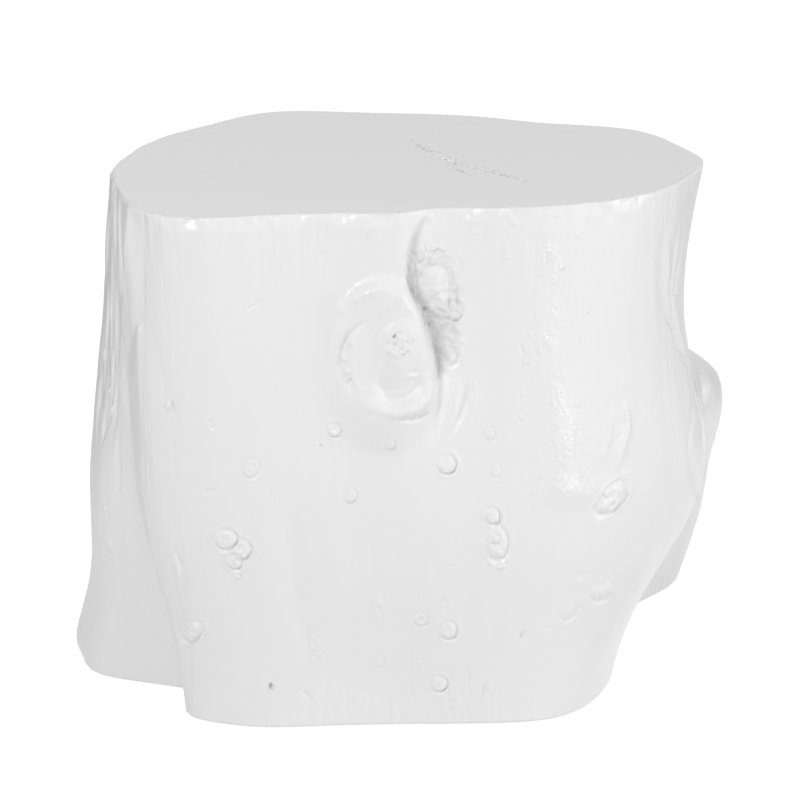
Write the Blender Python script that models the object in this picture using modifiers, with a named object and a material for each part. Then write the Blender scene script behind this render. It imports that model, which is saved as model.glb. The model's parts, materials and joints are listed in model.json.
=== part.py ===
"""A log stool: a hollow moulded shell with the form of a cut tree trunk, closed below by a board on glides.

Metres, +Z up. The front faces -Y, and the origin is on the floor, under the middle of the stool's box.
Run it with: blender --background --python part.py
"""

import math

import bmesh
import bpy
import numpy as np
from mathutils import Vector

# The whole stool
WIDTH = 0.570
DEPTH = 0.450
HEIGHT = 0.430
GAP = 0.0003

# The moulded shell
WALL = 0.005
SEAT_SKIN = 0.006
SEAT_EDGE_RADIUS = 0.006
RIM_LIFT = 0.002
COLUMNS_PER_STATION = 4
WALL_ROWS = 18
SEAT_EDGE_ROWS = 3

# Plan sections of the trunk from the foot to the seat. Each has the same stations, counter-clockwise from
# the right side as seen from above: shares of half the width, to the right, and of half the depth, to the back.
SECTION_HEIGHT_SHARES = (0.0, 0.14, 0.35, 0.65, 1.0)
FOOT_SHARES = (
    (0.625, -0.20), (0.69, 0.18), (0.805, 0.42), (0.887, 0.60), (0.88, 0.84), (0.70, 0.94),
    (0.46, 0.93), (0.21, 0.95), (-0.07, 0.99), (-0.35, 0.96), (-0.58, 0.85), (-0.76, 0.67),
    (-0.89, 0.47), (-0.97, 0.27), (-1.00, 0.07), (-0.985, -0.13), (-0.945, -0.325), (-0.84, -0.475),
    (-0.57, -0.63), (-0.615, -0.81), (-0.49, -0.92), (-0.35, -0.947), (-0.175, -0.93), (0.0, -0.917),
    (0.14, -0.915), (0.28, -0.907), (0.41, -0.88), (0.515, -0.787), (0.585, -0.63), (0.625, -0.44),
)
ANKLE_SHARES = (
    (0.703, -0.15), (0.78, 0.18), (0.89, 0.40), (0.95, 0.60), (0.90, 0.80), (0.72, 0.90),
    (0.475, 0.90), (0.23, 0.925), (-0.05, 0.955), (-0.335, 0.935), (-0.555, 0.83), (-0.725, 0.66),
    (-0.85, 0.465), (-0.925, 0.27), (-0.947, 0.07), (-0.94, -0.13), (-0.915, -0.32), (-0.825, -0.48),
    (-0.645, -0.61), (-0.645, -0.78), (-0.54, -0.915), (-0.38, -0.96), (-0.185, -0.945), (0.0, -0.938),
    (0.145, -0.935), (0.295, -0.92), (0.435, -0.88), (0.565, -0.78), (0.65, -0.62), (0.695, -0.40),
)
CALF_SHARES = (
    (0.885, -0.12), (0.905, 0.13), (0.955, 0.36), (0.955, 0.56), (0.865, 0.73), (0.70, 0.835),
    (0.475, 0.845), (0.245, 0.88), (-0.02, 0.91), (-0.31, 0.90), (-0.52, 0.81), (-0.685, 0.65),
    (-0.81, 0.46), (-0.89, 0.27), (-0.927, 0.07), (-0.93, -0.13), (-0.91, -0.335), (-0.85, -0.50),
    (-0.735, -0.63), (-0.707, -0.80), (-0.59, -0.935), (-0.40, -0.98), (-0.19, -0.973), (0.0, -0.965),
    (0.155, -0.955), (0.315, -0.935), (0.475, -0.89), (0.63, -0.78), (0.77, -0.60), (0.865, -0.37),
)
WAIST_SHARES = (
    (0.842, -0.11), (0.838, 0.12), (0.815, 0.33), (0.77, 0.50), (0.66, 0.63), (0.49, 0.70),
    (0.335, 0.755), (0.14, 0.81), (-0.065, 0.845), (-0.29, 0.845), (-0.475, 0.765), (-0.625, 0.615),
    (-0.745, 0.435), (-0.83, 0.245), (-0.872, 0.055), (-0.882, -0.14), (-0.862, -0.34), (-0.815, -0.525),
    (-0.755, -0.68), (-0.72, -0.835), (-0.59, -0.96), (-0.395, -0.98), (-0.185, -0.95), (0.0, -0.94),
    (0.14, -0.90), (0.30, -0.885), (0.465, -0.845), (0.62, -0.745), (0.745, -0.58), (0.828, -0.355),
)
SEAT_SHARES = (
    (0.888, -0.11), (0.868, 0.06), (0.815, 0.25), (0.735, 0.435), (0.595, 0.535), (0.43, 0.595),
    (0.27, 0.70), (0.07, 0.765), (-0.125, 0.79), (-0.32, 0.82), (-0.475, 0.735), (-0.59, 0.55),
    (-0.70, 0.37), (-0.77, 0.17), (-0.81, -0.015), (-0.83, -0.185), (-0.82, -0.40), (-0.785, -0.62),
    (-0.73, -0.825), (-0.645, -0.965), (-0.515, -1.00), (-0.35, -0.955), (-0.16, -0.93), (0.0, -0.925),
    (0.09, -0.855), (0.265, -0.85), (0.445, -0.805), (0.605, -0.72), (0.73, -0.575), (0.825, -0.36),
)
TRUNK_SHARES = (FOOT_SHARES, ANKLE_SHARES, CALF_SHARES, WAIST_SHARES, SEAT_SHARES)
STATIONS = len(FOOT_SHARES)

# The burl, a swollen branch stub high on the right side
BURL_BEARING_SHARE = 0.073
BURL_SPREAD_SHARE = 0.040
BURL_REACH = 0.025
BURL_TOP_SHARE = 0.58
BURL_RISE = 0.036
BURL_FALL = 0.090

# The knot, a healed branch scar on the front: a swollen ring round a dish
KNOT_RIGHT_SHARE = -0.035
KNOT_HEIGHT_SHARE = 0.735
KNOT_HALF_WIDTH = 0.040
KNOT_HALF_HEIGHT = 0.062
KNOT_SWELL = 0.010
KNOT_DISH = 0.006
KNOT_SKIRT_SHARE = 1.5
KNOT_DISH_SHARE = 0.75

# The crevice that runs down beside the knot: shares of half the width, and of the height
CREVICE_LINE_SHARES = ((0.055, 0.95), (0.035, 0.90), (0.06, 0.81), (0.095, 0.74), (0.11, 0.65), (0.125, 0.56))
CREVICE_DEPTH = 0.011
CREVICE_HALF_WIDTH = 0.013
CREVICE_TOP_SHARE = 0.955
CREVICE_BOTTOM_SHARE = 0.545
CREVICE_FADE = 0.045

# The core that stiffens the seat, bonded under it
CORE_THICKNESS = 0.018
CORE_CLEARANCE = 0.006

# The board that closes the underside, up inside the rim
PANEL_RECESS = 0.004
PANEL_THICKNESS = 0.012
PANEL_CLEARANCE = 0.004
VENT_DIAMETER = 0.020

# The timber blocks bonded inside the rim, which take the screws
BLOCK_BEARING_SHARES = (0.117, 0.300, 0.430, 0.540, 0.717, 0.867)
BLOCK_SPAN_SHARE = 0.067
BLOCK_HEIGHT = 0.040
BLOCK_THICKNESS = 0.032
BOND_LINE = 0.0008

# The screws, pan head with a cross recess
SCREW_DIAMETER = 0.004
SCREW_POINT = 0.004
SCREW_LENGTH = 0.034
HEAD_DIAMETER = 0.008
HEAD_HEIGHT = 0.0024
HEAD_CROWN = 0.0010
RECESS_WIDTH = 0.0012
RECESS_LENGTH = 0.0045
RECESS_DEPTH = 0.0014
HOLE_CLEARANCE = 0.0005
HOLE_OVERRUN = 0.002
BASE_SCREW_SIDE = 0.015

# The glides under five of the blocks
GLIDE_BLOCKS = (1, 2, 4, 5, 6)
GLIDE_DIAMETER = 0.030
GLIDE_FOOT_DIAMETER = 0.025
GLIDE_FLANGE = 0.0025
GLIDE_SEAT = 0.0022
GLIDE_SIDE = 0.010
ROUND_STEPS = 16
GLIDE_STEPS = 28
MERGE_DISTANCE = 0.00001


def smooth_step(share):
    """0 up to share 0, 1 from share 1, and an even turn between."""
    held = np.clip(share, 0, 1)
    return held * held * (3 - 2 * held)


def spline(knots, values, places, period=None):
    """Values at places, from a cubic spline through knots that is natural at its ends or closes on itself."""
    knots = np.asarray(knots, float)
    values = np.asarray(values, float)
    places = np.asarray(places, float)
    if period:
        knots = np.append(knots, knots[0] + period)
        values = np.concatenate([values, values[:1]])
        places = knots[0] + (places - knots[0]) % period
    count = len(knots)
    flat = values.reshape(count, -1)
    gap = np.diff(knots)
    rise = np.diff(flat, axis=0) / gap[:, None]
    system = np.zeros((count, count))
    bend = np.zeros(flat.shape)
    for k in range(1, count - 1):
        system[k, k - 1 : k + 2] = gap[k - 1], 2 * (gap[k - 1] + gap[k]), gap[k]
        bend[k] = 6 * (rise[k] - rise[k - 1])
    system[0, 0] = 1
    system[-1, -1] = 1
    if period:
        system[0, -1] = -1
        system[-1, [0, 1, -2, -1]] = 2 * gap[0], gap[0], gap[-1], 2 * gap[-1]
        bend[-1] = 6 * (rise[0] - rise[-1])
    bend = np.linalg.solve(system, bend)
    k = np.clip(np.searchsorted(knots, places, side="right") - 1, 0, count - 2)
    span = gap[k][:, None]
    after = (places - knots[k])[:, None] / span
    before = 1 - after
    curve = before * flat[k] + after * flat[k + 1]
    curve += ((before**3 - before) * bend[k] + (after**3 - after) * bend[k + 1]) * span**2 / 6
    return curve.reshape((len(places),) + values.shape[1:])


def outward(plan):
    """Level unit vectors that point out of each row of a plan grid, whose columns run all the way round."""
    along = np.roll(plan, -1, axis=1) - np.roll(plan, 1, axis=1)
    normal = np.dstack([along[..., 1], -along[..., 0]])
    return normal / np.linalg.norm(normal, axis=2, keepdims=True)


def burl_relief(bearings, heights):
    """How far the burl stands out: steep at its top, with a long fade below, and round in plan."""
    away = (bearings - BURL_BEARING_SHARE + 0.5) % 1 - 0.5
    across = np.exp(-((away / BURL_SPREAD_SHARE) ** 2))
    drop = BURL_TOP_SHARE * HEIGHT - heights
    up = smooth_step(drop / BURL_RISE) * (1 - smooth_step((drop - BURL_RISE) / BURL_FALL))
    return BURL_REACH * up[:, None] * across


def knot_relief(x, z):
    """The knot's swelling, with the dish in its middle."""
    right = KNOT_RIGHT_SHARE * WIDTH / 2
    height = KNOT_HEIGHT_SHARE * HEIGHT
    away = np.hypot((x - right) / KNOT_HALF_WIDTH, (z - height) / KNOT_HALF_HEIGHT)
    swell = KNOT_SWELL * smooth_step((KNOT_SKIRT_SHARE - away) / (KNOT_SKIRT_SHARE - KNOT_DISH_SHARE))
    dish = KNOT_DISH * smooth_step(1 - away / KNOT_DISH_SHARE)
    return swell - dish


def crevice_relief(x, z):
    """The crevice: a furrow along its line, which fades at both ends."""
    line = np.array(CREVICE_LINE_SHARES) * (WIDTH / 2, HEIGHT)
    middle = spline(line[::-1, 1], line[::-1, 0], np.clip(z[:, 0], line[-1, 1], line[0, 1]))
    furrow = np.exp(-(((x - middle[:, None]) / CREVICE_HALF_WIDTH) ** 2))
    below_top = CREVICE_TOP_SHARE * HEIGHT - z
    above_end = z - CREVICE_BOTTOM_SHARE * HEIGHT
    along = smooth_step(below_top / CREVICE_FADE) * smooth_step(above_end / CREVICE_FADE)
    return -CREVICE_DEPTH * furrow * along


def trunk_wall(bearings, heights):
    """The trunk's outer wall as a grid of points, rows by height and columns by bearing share."""
    half_box = (WIDTH / 2, DEPTH / 2)
    stations = np.arange(STATIONS) / STATIONS
    outlines = [spline(stations, np.array(shares) * half_box, bearings, 1) for shares in TRUNK_SHARES]
    plan = spline(np.array(SECTION_HEIGHT_SHARES) * HEIGHT, np.array(outlines), heights)
    plan += burl_relief(bearings, heights)[..., None] * outward(plan)
    level = np.broadcast_to(heights[:, None], plan.shape[:2])
    front = plan[..., 1] < 0
    relief = front * (knot_relief(plan[..., 0], level) + crevice_relief(plan[..., 0], level))
    plan += relief[..., None] * outward(plan)
    return np.dstack([plan, level])


def inside(grid, inset):
    """A wall grid moved level inwards by inset, one value or one for each row."""
    moved = grid.copy()
    moved[..., :2] -= outward(grid[..., :2]) * np.reshape(inset, (-1, 1, 1))
    return moved


def all_bearings():
    count = STATIONS * COLUMNS_PER_STATION
    return np.arange(count) / count


def inner_wall(heights, inset=0.0):
    """The shell's inner face at heights, moved further in by inset."""
    return inside(trunk_wall(all_bearings(), np.asarray(heights, float)), WALL + inset)


def innermost(rings):
    """One outline that takes, column by column, whichever ring lies nearest the middle."""
    reach = np.linalg.norm(rings[..., :2], axis=2)
    nearest = np.argmin(reach, axis=0)
    return rings[nearest, np.arange(rings.shape[1])]


def mesh_object(name, mesh, material, collection):
    mesh.materials.append(material)
    thing = bpy.data.objects.new(name, mesh)
    collection.objects.link(thing)
    return thing


def loft(name, rings, poles, material, collection):
    """A closed body through rings of points, with a pole at each end of the run of rings."""
    count = rings.shape[1]
    points = np.concatenate([rings.reshape(-1, 3), poles])
    near = np.arange(len(rings) - 1)[:, None] * count
    here = np.arange(count)[None, :]
    after = (here + 1) % count
    quads = np.stack([near + here, near + after, near + count + after, near + count + here], -1).reshape(-1, 4)
    first_pole = rings.shape[0] * count
    last_ring = first_pole - count
    here = here[0]
    after = after[0]
    fans = [(first_pole, after[i], here[i]) for i in range(count)]
    fans += [(first_pole + 1, last_ring + here[i], last_ring + after[i]) for i in range(count)]
    mesh = bpy.data.meshes.new(name)
    mesh.from_pydata(points.tolist(), [], quads.tolist() + fans)
    body = bmesh.new()
    body.from_mesh(mesh)
    bmesh.ops.recalc_face_normals(body, faces=body.faces)
    body.to_mesh(mesh)
    body.free()
    return mesh_object(name, mesh, material, collection)


def finish_material(name, colour, roughness, metallic=0.0):
    material = bpy.data.materials.new(name)
    material.use_nodes = True
    shader = material.node_tree.nodes["Principled BSDF"]
    shader.inputs["Base Color"].default_value = (*colour, 1)
    shader.inputs["Roughness"].default_value = roughness
    shader.inputs["Metallic"].default_value = metallic
    return material


def gel_coat():
    return finish_material("gel_coat", (0.87, 0.87, 0.87), 0.25)


def plywood():
    return finish_material("plywood", (0.62, 0.47, 0.30), 0.7)


def timber():
    return finish_material("timber", (0.68, 0.52, 0.33), 0.75)


def zinc():
    return finish_material("zinc", (0.62, 0.62, 0.60), 0.35, 1.0)


def glide_plastic():
    return finish_material("glide_plastic", (0.80, 0.80, 0.78), 0.45)


def trunk_shell(material, collection):
    """The one-piece moulding: wall and seat in one skin, open at the foot."""
    edge_bottom = HEIGHT - SEAT_EDGE_RADIUS
    ceiling = HEIGHT - SEAT_SKIN
    rows = np.linspace(RIM_LIFT, edge_bottom, WALL_ROWS)
    turn = np.linspace(0, math.pi / 2, SEAT_EDGE_ROWS + 1)[1:]
    edge = edge_bottom + SEAT_EDGE_RADIUS * np.sin(turn)
    insets = np.concatenate([rows * 0, SEAT_EDGE_RADIUS * (1 - np.cos(turn))])
    outer = inside(trunk_wall(all_bearings(), np.concatenate([rows, edge])), insets)
    inner = inner_wall(np.append(rows[:-1], ceiling))
    top = outer[-1].mean(axis=0)
    under = inner[-1].mean(axis=0)
    seat_ring = (outer[-1] + top) / 2
    ceiling_ring = (inner[-1] + under) / 2
    rings = np.concatenate([seat_ring[None], outer[::-1], inner, ceiling_ring[None]])
    return loft("trunk_shell", rings, np.array([top, under]), material, collection)


def flat_board(name, outline, holes, bottom, thickness, material, collection):
    """A board: a flat outline with round holes (x, y, radius), extruded about its middle."""
    curve = bpy.data.curves.new(name, "CURVE")
    curve.dimensions = "2D"
    curve.fill_mode = "BOTH"
    curve.extrude = thickness / 2
    add_loop(curve, outline)
    for x, y, radius in holes:
        add_loop(curve, circle(x, y, radius))
    curve.materials.append(material)
    thing = bpy.data.objects.new(name, curve)
    thing.location.z = bottom + thickness / 2
    collection.objects.link(thing)
    return thing


def add_loop(curve, points):
    loop = curve.splines.new("POLY")
    loop.points.add(len(points) - 1)
    for point, place in zip(loop.points, points):
        point.co = (place[0], place[1], 0, 1)
    loop.use_cyclic_u = True


def circle(x, y, radius):
    turns = [2 * math.pi * k / ROUND_STEPS for k in range(ROUND_STEPS)]
    return [(x + radius * math.cos(a), y + radius * math.sin(a)) for a in turns]


def seat_core(material, collection):
    """The stiffening board under the seat."""
    top = HEIGHT - SEAT_SKIN - GAP
    bottom = top - CORE_THICKNESS
    outline = innermost(inner_wall([bottom, top], CORE_CLEARANCE))
    return flat_board("seat_core", outline, [], bottom, CORE_THICKNESS, material, collection)


def panel_bottom():
    return RIM_LIFT + PANEL_RECESS


def panel_top():
    return panel_bottom() + PANEL_THICKNESS


def block_bottom():
    return panel_top() + GAP


def column_at(bearing):
    columns = STATIONS * COLUMNS_PER_STATION
    return round(bearing * columns) % columns


def block_frame(bearing):
    """The middle of a block: its place in plan, and the level direction along the wall there."""
    column = column_at(bearing)
    wall = innermost(inner_wall([RIM_LIFT, block_bottom()]))[None]
    out = Vector((*outward(wall[..., :2])[0, column], 0))
    middle = Vector((*wall[0, column, :2], 0)) - out * (BOND_LINE + BLOCK_THICKNESS / 2)
    along = Vector((-out.y, out.x, 0))
    return middle, along


def base_screw_place(bearing):
    middle, along = block_frame(bearing)
    return middle - along * BASE_SCREW_SIDE


def glide_place(bearing):
    middle, along = block_frame(bearing)
    return middle + along * GLIDE_SIDE


def glide_bearings():
    return [BLOCK_BEARING_SHARES[number - 1] for number in GLIDE_BLOCKS]


def base_panel(material, collection):
    """The closing board, small enough to pass the rim and the wall just above it."""
    levels = [RIM_LIFT, panel_bottom(), panel_top()]
    outline = innermost(inner_wall(levels, PANEL_CLEARANCE))
    hole = SCREW_DIAMETER / 2 + HOLE_CLEARANCE
    places = [base_screw_place(bearing) for bearing in BLOCK_BEARING_SHARES]
    places += [glide_place(bearing) for bearing in glide_bearings()]
    holes = [(place.x, place.y, hole) for place in places]
    holes.append((0, 0, VENT_DIAMETER / 2))
    return flat_board("base_panel", outline, holes, panel_bottom(), PANEL_THICKNESS, material, collection)


def screw_hole_cutter(name, place, bottom, height, collection):
    bpy.ops.mesh.primitive_cylinder_add(
        vertices=ROUND_STEPS,
        radius=SCREW_DIAMETER / 2 + HOLE_CLEARANCE,
        depth=height,
        location=(place.x, place.y, bottom + height / 2),
    )
    cutter = bpy.context.object
    cutter.name = name
    for other in list(cutter.users_collection):
        other.objects.unlink(cutter)
    collection.objects.link(cutter)
    cutter.hide_render = True
    cutter.display_type = "WIRE"
    return cutter


def cut(thing, cutter):
    modifier = thing.modifiers.new(cutter.name, "BOOLEAN")
    modifier.operation = "DIFFERENCE"
    modifier.solver = "EXACT"
    modifier.object = cutter


def base_block(number, bearing, material, collection, cutters):
    """A timber block whose back follows the shell's inner face, with a hole for each screw that enters it."""
    column = column_at(bearing)
    columns = STATIONS * COLUMNS_PER_STATION
    reach = round(BLOCK_SPAN_SHARE * columns / 2)
    span = np.arange(column - reach, column + reach + 1) % columns
    levels = block_bottom() + BLOCK_HEIGHT * np.linspace(0, 1, 3)
    back = inner_wall(levels, BOND_LINE)[:, span]
    face = inner_wall(levels, BOND_LINE + BLOCK_THICKNESS)[:, span]
    rings = np.concatenate([back, face[:, ::-1]], axis=1)
    poles = np.array([rings[0].mean(axis=0), rings[-1].mean(axis=0)])
    block = loft(f"base_block_{number}", rings, poles, material, collection)
    places = [base_screw_place(bearing)]
    if number in GLIDE_BLOCKS:
        places.append(glide_place(bearing))
    for k, place in enumerate(places):
        name = f"block_{number}_hole_{k + 1}"
        height = BLOCK_HEIGHT + 2 * HOLE_OVERRUN
        cut(block, screw_hole_cutter(name, place, block_bottom() - HOLE_OVERRUN, height, cutters))
    return block


def turned(name, profile, steps, place, material, collection):
    """A body turned about the upright line through place: profile holds (radius, height) down its outer side."""
    mesh = bpy.data.meshes.new(name)
    edges = [(k, k + 1) for k in range(len(profile) - 1)]
    if profile[0][0] > 0:
        edges.append((len(profile) - 1, 0))
    mesh.from_pydata([(radius, 0, z) for radius, z in profile], edges, [])
    thing = mesh_object(name, mesh, material, collection)
    thing.location = (place.x, place.y, 0)
    spin = thing.modifiers.new("turn", "SCREW")
    spin.steps = steps
    spin.render_steps = steps
    spin.use_merge_vertices = True
    spin.merge_threshold = MERGE_DISTANCE
    spin.use_smooth_shade = False
    return thing


def recess_cutter(name, place, head_bottom, collection):
    """Two crossed bars that cut the screwdriver's recess up into a head."""
    height = 2 * RECESS_DEPTH
    cutter = bpy.data.objects.new(name, bpy.data.meshes.new(name))
    body = bmesh.new()
    stretch = RECESS_LENGTH / RECESS_WIDTH
    for ratios in ((stretch, 1, height / RECESS_WIDTH), (1, stretch, height / RECESS_WIDTH)):
        bar = bmesh.ops.create_cube(body, size=RECESS_WIDTH)
        bmesh.ops.scale(body, vec=ratios, verts=bar["verts"])
    body.to_mesh(cutter.data)
    body.free()
    cutter.location = (place.x, place.y, head_bottom)
    cutter.hide_render = True
    cutter.display_type = "WIRE"
    collection.objects.link(cutter)
    return cutter


def screw(name, place, seat_height, material, collection, cutters):
    """A pan-head screw whose head bears up against seat_height, with a pointed plain shank above it."""
    under_head = seat_height - GAP
    head_bottom = under_head - HEAD_HEIGHT
    shank = SCREW_DIAMETER / 2
    head = HEAD_DIAMETER / 2
    tip = under_head + SCREW_LENGTH
    profile = [
        (0, tip),
        (shank, tip - SCREW_POINT),
        (shank, under_head),
        (head, under_head),
        (head, head_bottom + HEAD_CROWN),
        (head - HEAD_CROWN, head_bottom),
        (0, head_bottom),
    ]
    thing = turned(name, profile, ROUND_STEPS, place, material, collection)
    modifier = thing.modifiers.new("recess", "BOOLEAN")
    modifier.operation = "DIFFERENCE"
    modifier.solver = "EXACT"
    modifier.use_self = True
    modifier.object = recess_cutter(f"{name}_recess", place, head_bottom, cutters)
    return thing


def glide(name, place, material, collection):
    """A turned glide: a flange under the board, a narrower foot, and a bore with a deep seat for its screw."""
    top = panel_bottom() - GAP
    seat = glide_screw_seat()
    bore = SCREW_DIAMETER / 2 + HOLE_CLEARANCE
    pocket = HEAD_DIAMETER / 2 + HOLE_CLEARANCE
    profile = [
        (bore, top),
        (GLIDE_DIAMETER / 2, top),
        (GLIDE_DIAMETER / 2, top - GLIDE_FLANGE),
        (GLIDE_FOOT_DIAMETER / 2, 0),
        (pocket, 0),
        (pocket, seat),
        (bore, seat),
    ]
    return turned(name, profile, GLIDE_STEPS, place, material, collection)


def glide_screw_seat():
    """The height of the ledge in a glide that its screw's head bears against."""
    return panel_bottom() - GAP - GLIDE_SEAT


def box_middle(shell):
    """The middle, in plan, of the shell's box."""
    places = np.array([vertex.co[:2] for vertex in shell.data.vertices])
    return (places.min(axis=0) + places.max(axis=0)) / 2


def clear_scene():
    for thing in list(bpy.data.objects):
        bpy.data.objects.remove(thing)


def new_collection(name):
    collection = bpy.data.collections.new(name)
    bpy.context.scene.collection.children.link(collection)
    return collection


def build():
    clear_scene()
    stool = new_collection("log_stool")
    cutters = new_collection("cutters")
    wood = timber()
    steel = zinc()
    foot = glide_plastic()
    board = plywood()
    shell = trunk_shell(gel_coat(), stool)
    pieces = [shell, seat_core(board, stool), base_panel(board, stool)]
    for number, bearing in enumerate(BLOCK_BEARING_SHARES, 1):
        pieces.append(base_block(number, bearing, wood, stool, cutters))
        place = base_screw_place(bearing)
        pieces.append(screw(f"base_screw_{number}", place, panel_bottom(), steel, stool, cutters))
    for number, bearing in enumerate(glide_bearings(), 1):
        place = glide_place(bearing)
        pieces.append(glide(f"glide_{number}", place, foot, stool))
        pieces.append(screw(f"glide_screw_{number}", place, glide_screw_seat(), steel, stool, cutters))
    centre = bpy.data.objects.new("stool_centre", None)
    centre.location = Vector((*-box_middle(shell), 0))
    stool.objects.link(centre)
    for thing in pieces + list(cutters.objects):
        thing.parent = centre


if __name__ == "__main__":
    build()
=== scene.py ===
"""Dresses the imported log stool: the fine skin of its moulded shell, its finishes, and a plain studio.

The stool is a hollow moulded shell with the form of a short length of tree trunk, in glossy white gel coat. The
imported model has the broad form. This file lays the fine skin over it: the knot, the crevice, the healed twigs, the
furrows and the grain. Metres, +Z up, with the front to -Y.
"""

import json
import math

import bpy
import numpy as np
from bpy.props import FloatProperty, FloatVectorProperty, PointerProperty
from bpy.types import Operator, Panel, PropertyGroup
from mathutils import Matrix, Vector


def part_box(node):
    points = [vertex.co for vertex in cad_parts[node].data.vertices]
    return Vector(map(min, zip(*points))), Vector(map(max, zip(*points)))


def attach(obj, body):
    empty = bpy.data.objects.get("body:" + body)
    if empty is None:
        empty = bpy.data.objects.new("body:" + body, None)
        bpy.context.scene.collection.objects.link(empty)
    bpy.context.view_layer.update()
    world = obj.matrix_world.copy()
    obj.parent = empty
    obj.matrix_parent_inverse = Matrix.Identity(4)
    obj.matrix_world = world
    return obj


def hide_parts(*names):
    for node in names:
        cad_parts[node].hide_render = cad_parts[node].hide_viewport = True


bl_info = {
    "name": "Log stool",
    "version": (1, 0, 0),
    "blender": (4, 5, 0),
    "location": "3D View > Sidebar > Log stool",
    "description": "Builds the fine skin, the finishes and the studio of a white moulded log stool",
    "category": "Object",
}

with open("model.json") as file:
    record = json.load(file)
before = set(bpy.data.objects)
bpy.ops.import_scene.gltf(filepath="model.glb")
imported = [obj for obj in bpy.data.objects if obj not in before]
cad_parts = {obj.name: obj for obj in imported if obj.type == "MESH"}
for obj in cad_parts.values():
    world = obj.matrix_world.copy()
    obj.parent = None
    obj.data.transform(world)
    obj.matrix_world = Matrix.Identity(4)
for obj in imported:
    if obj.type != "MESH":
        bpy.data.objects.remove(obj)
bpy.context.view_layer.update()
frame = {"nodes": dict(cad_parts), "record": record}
SHELL_LOW, SHELL_HIGH = (np.array(corner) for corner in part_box("trunk_shell"))

MM = 0.001

# The photograph's camera, straight in front of the stool and pitched down, how far it sees, and its picture
PICTURE_SIDE = 800
CAMERA_BACK = 2.6
CAMERA_HEIGHT = 1.0064
CAMERA_PITCH = math.radians(16.92)
CAMERA_SIGHT = 40
FOCAL_LENGTH_PX = 3168
SENSOR_MM = 36

# Plan sections of the trunk from the foot to the seat, with the same stations counter-clockwise from the right
# side: shares of half the width, to the right, and of half the depth, to the back.
SECTION_HEIGHT_SHARES = (0.0, 0.14, 0.35, 0.65, 1.0)
FOOT_SHARES = (
    (0.625, -0.20), (0.69, 0.18), (0.805, 0.42), (0.887, 0.60), (0.88, 0.84), (0.70, 0.94),
    (0.46, 0.93), (0.21, 0.95), (-0.07, 0.99), (-0.35, 0.96), (-0.58, 0.85), (-0.76, 0.67),
    (-0.89, 0.47), (-0.97, 0.27), (-1.00, 0.07), (-0.985, -0.13), (-0.945, -0.325), (-0.84, -0.475),
    (-0.57, -0.63), (-0.615, -0.81), (-0.49, -0.92), (-0.35, -0.947), (-0.175, -0.93), (0.0, -0.917),
    (0.14, -0.915), (0.28, -0.907), (0.41, -0.88), (0.515, -0.787), (0.585, -0.63), (0.625, -0.44),
)
ANKLE_SHARES = (
    (0.703, -0.15), (0.78, 0.18), (0.89, 0.40), (0.95, 0.60), (0.90, 0.80), (0.72, 0.90),
    (0.475, 0.90), (0.23, 0.925), (-0.05, 0.955), (-0.335, 0.935), (-0.555, 0.83), (-0.725, 0.66),
    (-0.85, 0.465), (-0.925, 0.27), (-0.947, 0.07), (-0.94, -0.13), (-0.915, -0.32), (-0.825, -0.48),
    (-0.645, -0.61), (-0.645, -0.78), (-0.54, -0.915), (-0.38, -0.96), (-0.185, -0.945), (0.0, -0.938),
    (0.145, -0.935), (0.295, -0.92), (0.435, -0.88), (0.565, -0.78), (0.65, -0.62), (0.695, -0.40),
)
CALF_SHARES = (
    (0.885, -0.12), (0.905, 0.13), (0.955, 0.36), (0.955, 0.56), (0.865, 0.73), (0.70, 0.835),
    (0.475, 0.845), (0.245, 0.88), (-0.02, 0.91), (-0.31, 0.90), (-0.52, 0.81), (-0.685, 0.65),
    (-0.81, 0.46), (-0.89, 0.27), (-0.927, 0.07), (-0.93, -0.13), (-0.91, -0.335), (-0.85, -0.50),
    (-0.735, -0.63), (-0.707, -0.80), (-0.59, -0.935), (-0.40, -0.98), (-0.19, -0.973), (0.0, -0.965),
    (0.155, -0.955), (0.315, -0.935), (0.475, -0.89), (0.63, -0.78), (0.77, -0.60), (0.865, -0.37),
)
WAIST_SHARES = (
    (0.842, -0.11), (0.838, 0.12), (0.815, 0.33), (0.77, 0.50), (0.66, 0.63), (0.49, 0.70),
    (0.335, 0.755), (0.14, 0.81), (-0.065, 0.845), (-0.29, 0.845), (-0.475, 0.765), (-0.625, 0.615),
    (-0.745, 0.435), (-0.83, 0.245), (-0.872, 0.055), (-0.882, -0.14), (-0.862, -0.34), (-0.815, -0.525),
    (-0.755, -0.68), (-0.72, -0.835), (-0.59, -0.96), (-0.395, -0.98), (-0.185, -0.95), (0.0, -0.94),
    (0.14, -0.90), (0.30, -0.885), (0.465, -0.845), (0.62, -0.745), (0.745, -0.58), (0.828, -0.355),
)
SEAT_SHARES = (
    (0.888, -0.11), (0.868, 0.06), (0.815, 0.25), (0.735, 0.435), (0.595, 0.535), (0.43, 0.595),
    (0.27, 0.70), (0.07, 0.765), (-0.125, 0.79), (-0.32, 0.82), (-0.475, 0.735), (-0.59, 0.55),
    (-0.70, 0.37), (-0.77, 0.17), (-0.81, -0.015), (-0.83, -0.185), (-0.82, -0.40), (-0.785, -0.62),
    (-0.73, -0.825), (-0.645, -0.965), (-0.515, -1.00), (-0.35, -0.955), (-0.16, -0.93), (0.0, -0.925),
    (0.09, -0.855), (0.265, -0.85), (0.445, -0.805), (0.605, -0.72), (0.73, -0.575), (0.825, -0.36),
)
TRUNK_SHARES = (FOOT_SHARES, ANKLE_SHARES, CALF_SHARES, WAIST_SHARES, SEAT_SHARES)
STATIONS = len(FOOT_SHARES)

# The burl, a swollen branch stub high on the right side
BURL_BEARING_SHARE = 0.073
BURL_SPREAD_SHARE = 0.040
BURL_REACH = 0.025
BURL_TOP_SHARE = 0.58
BURL_RISE = 0.036
BURL_FALL = 0.090

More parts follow.
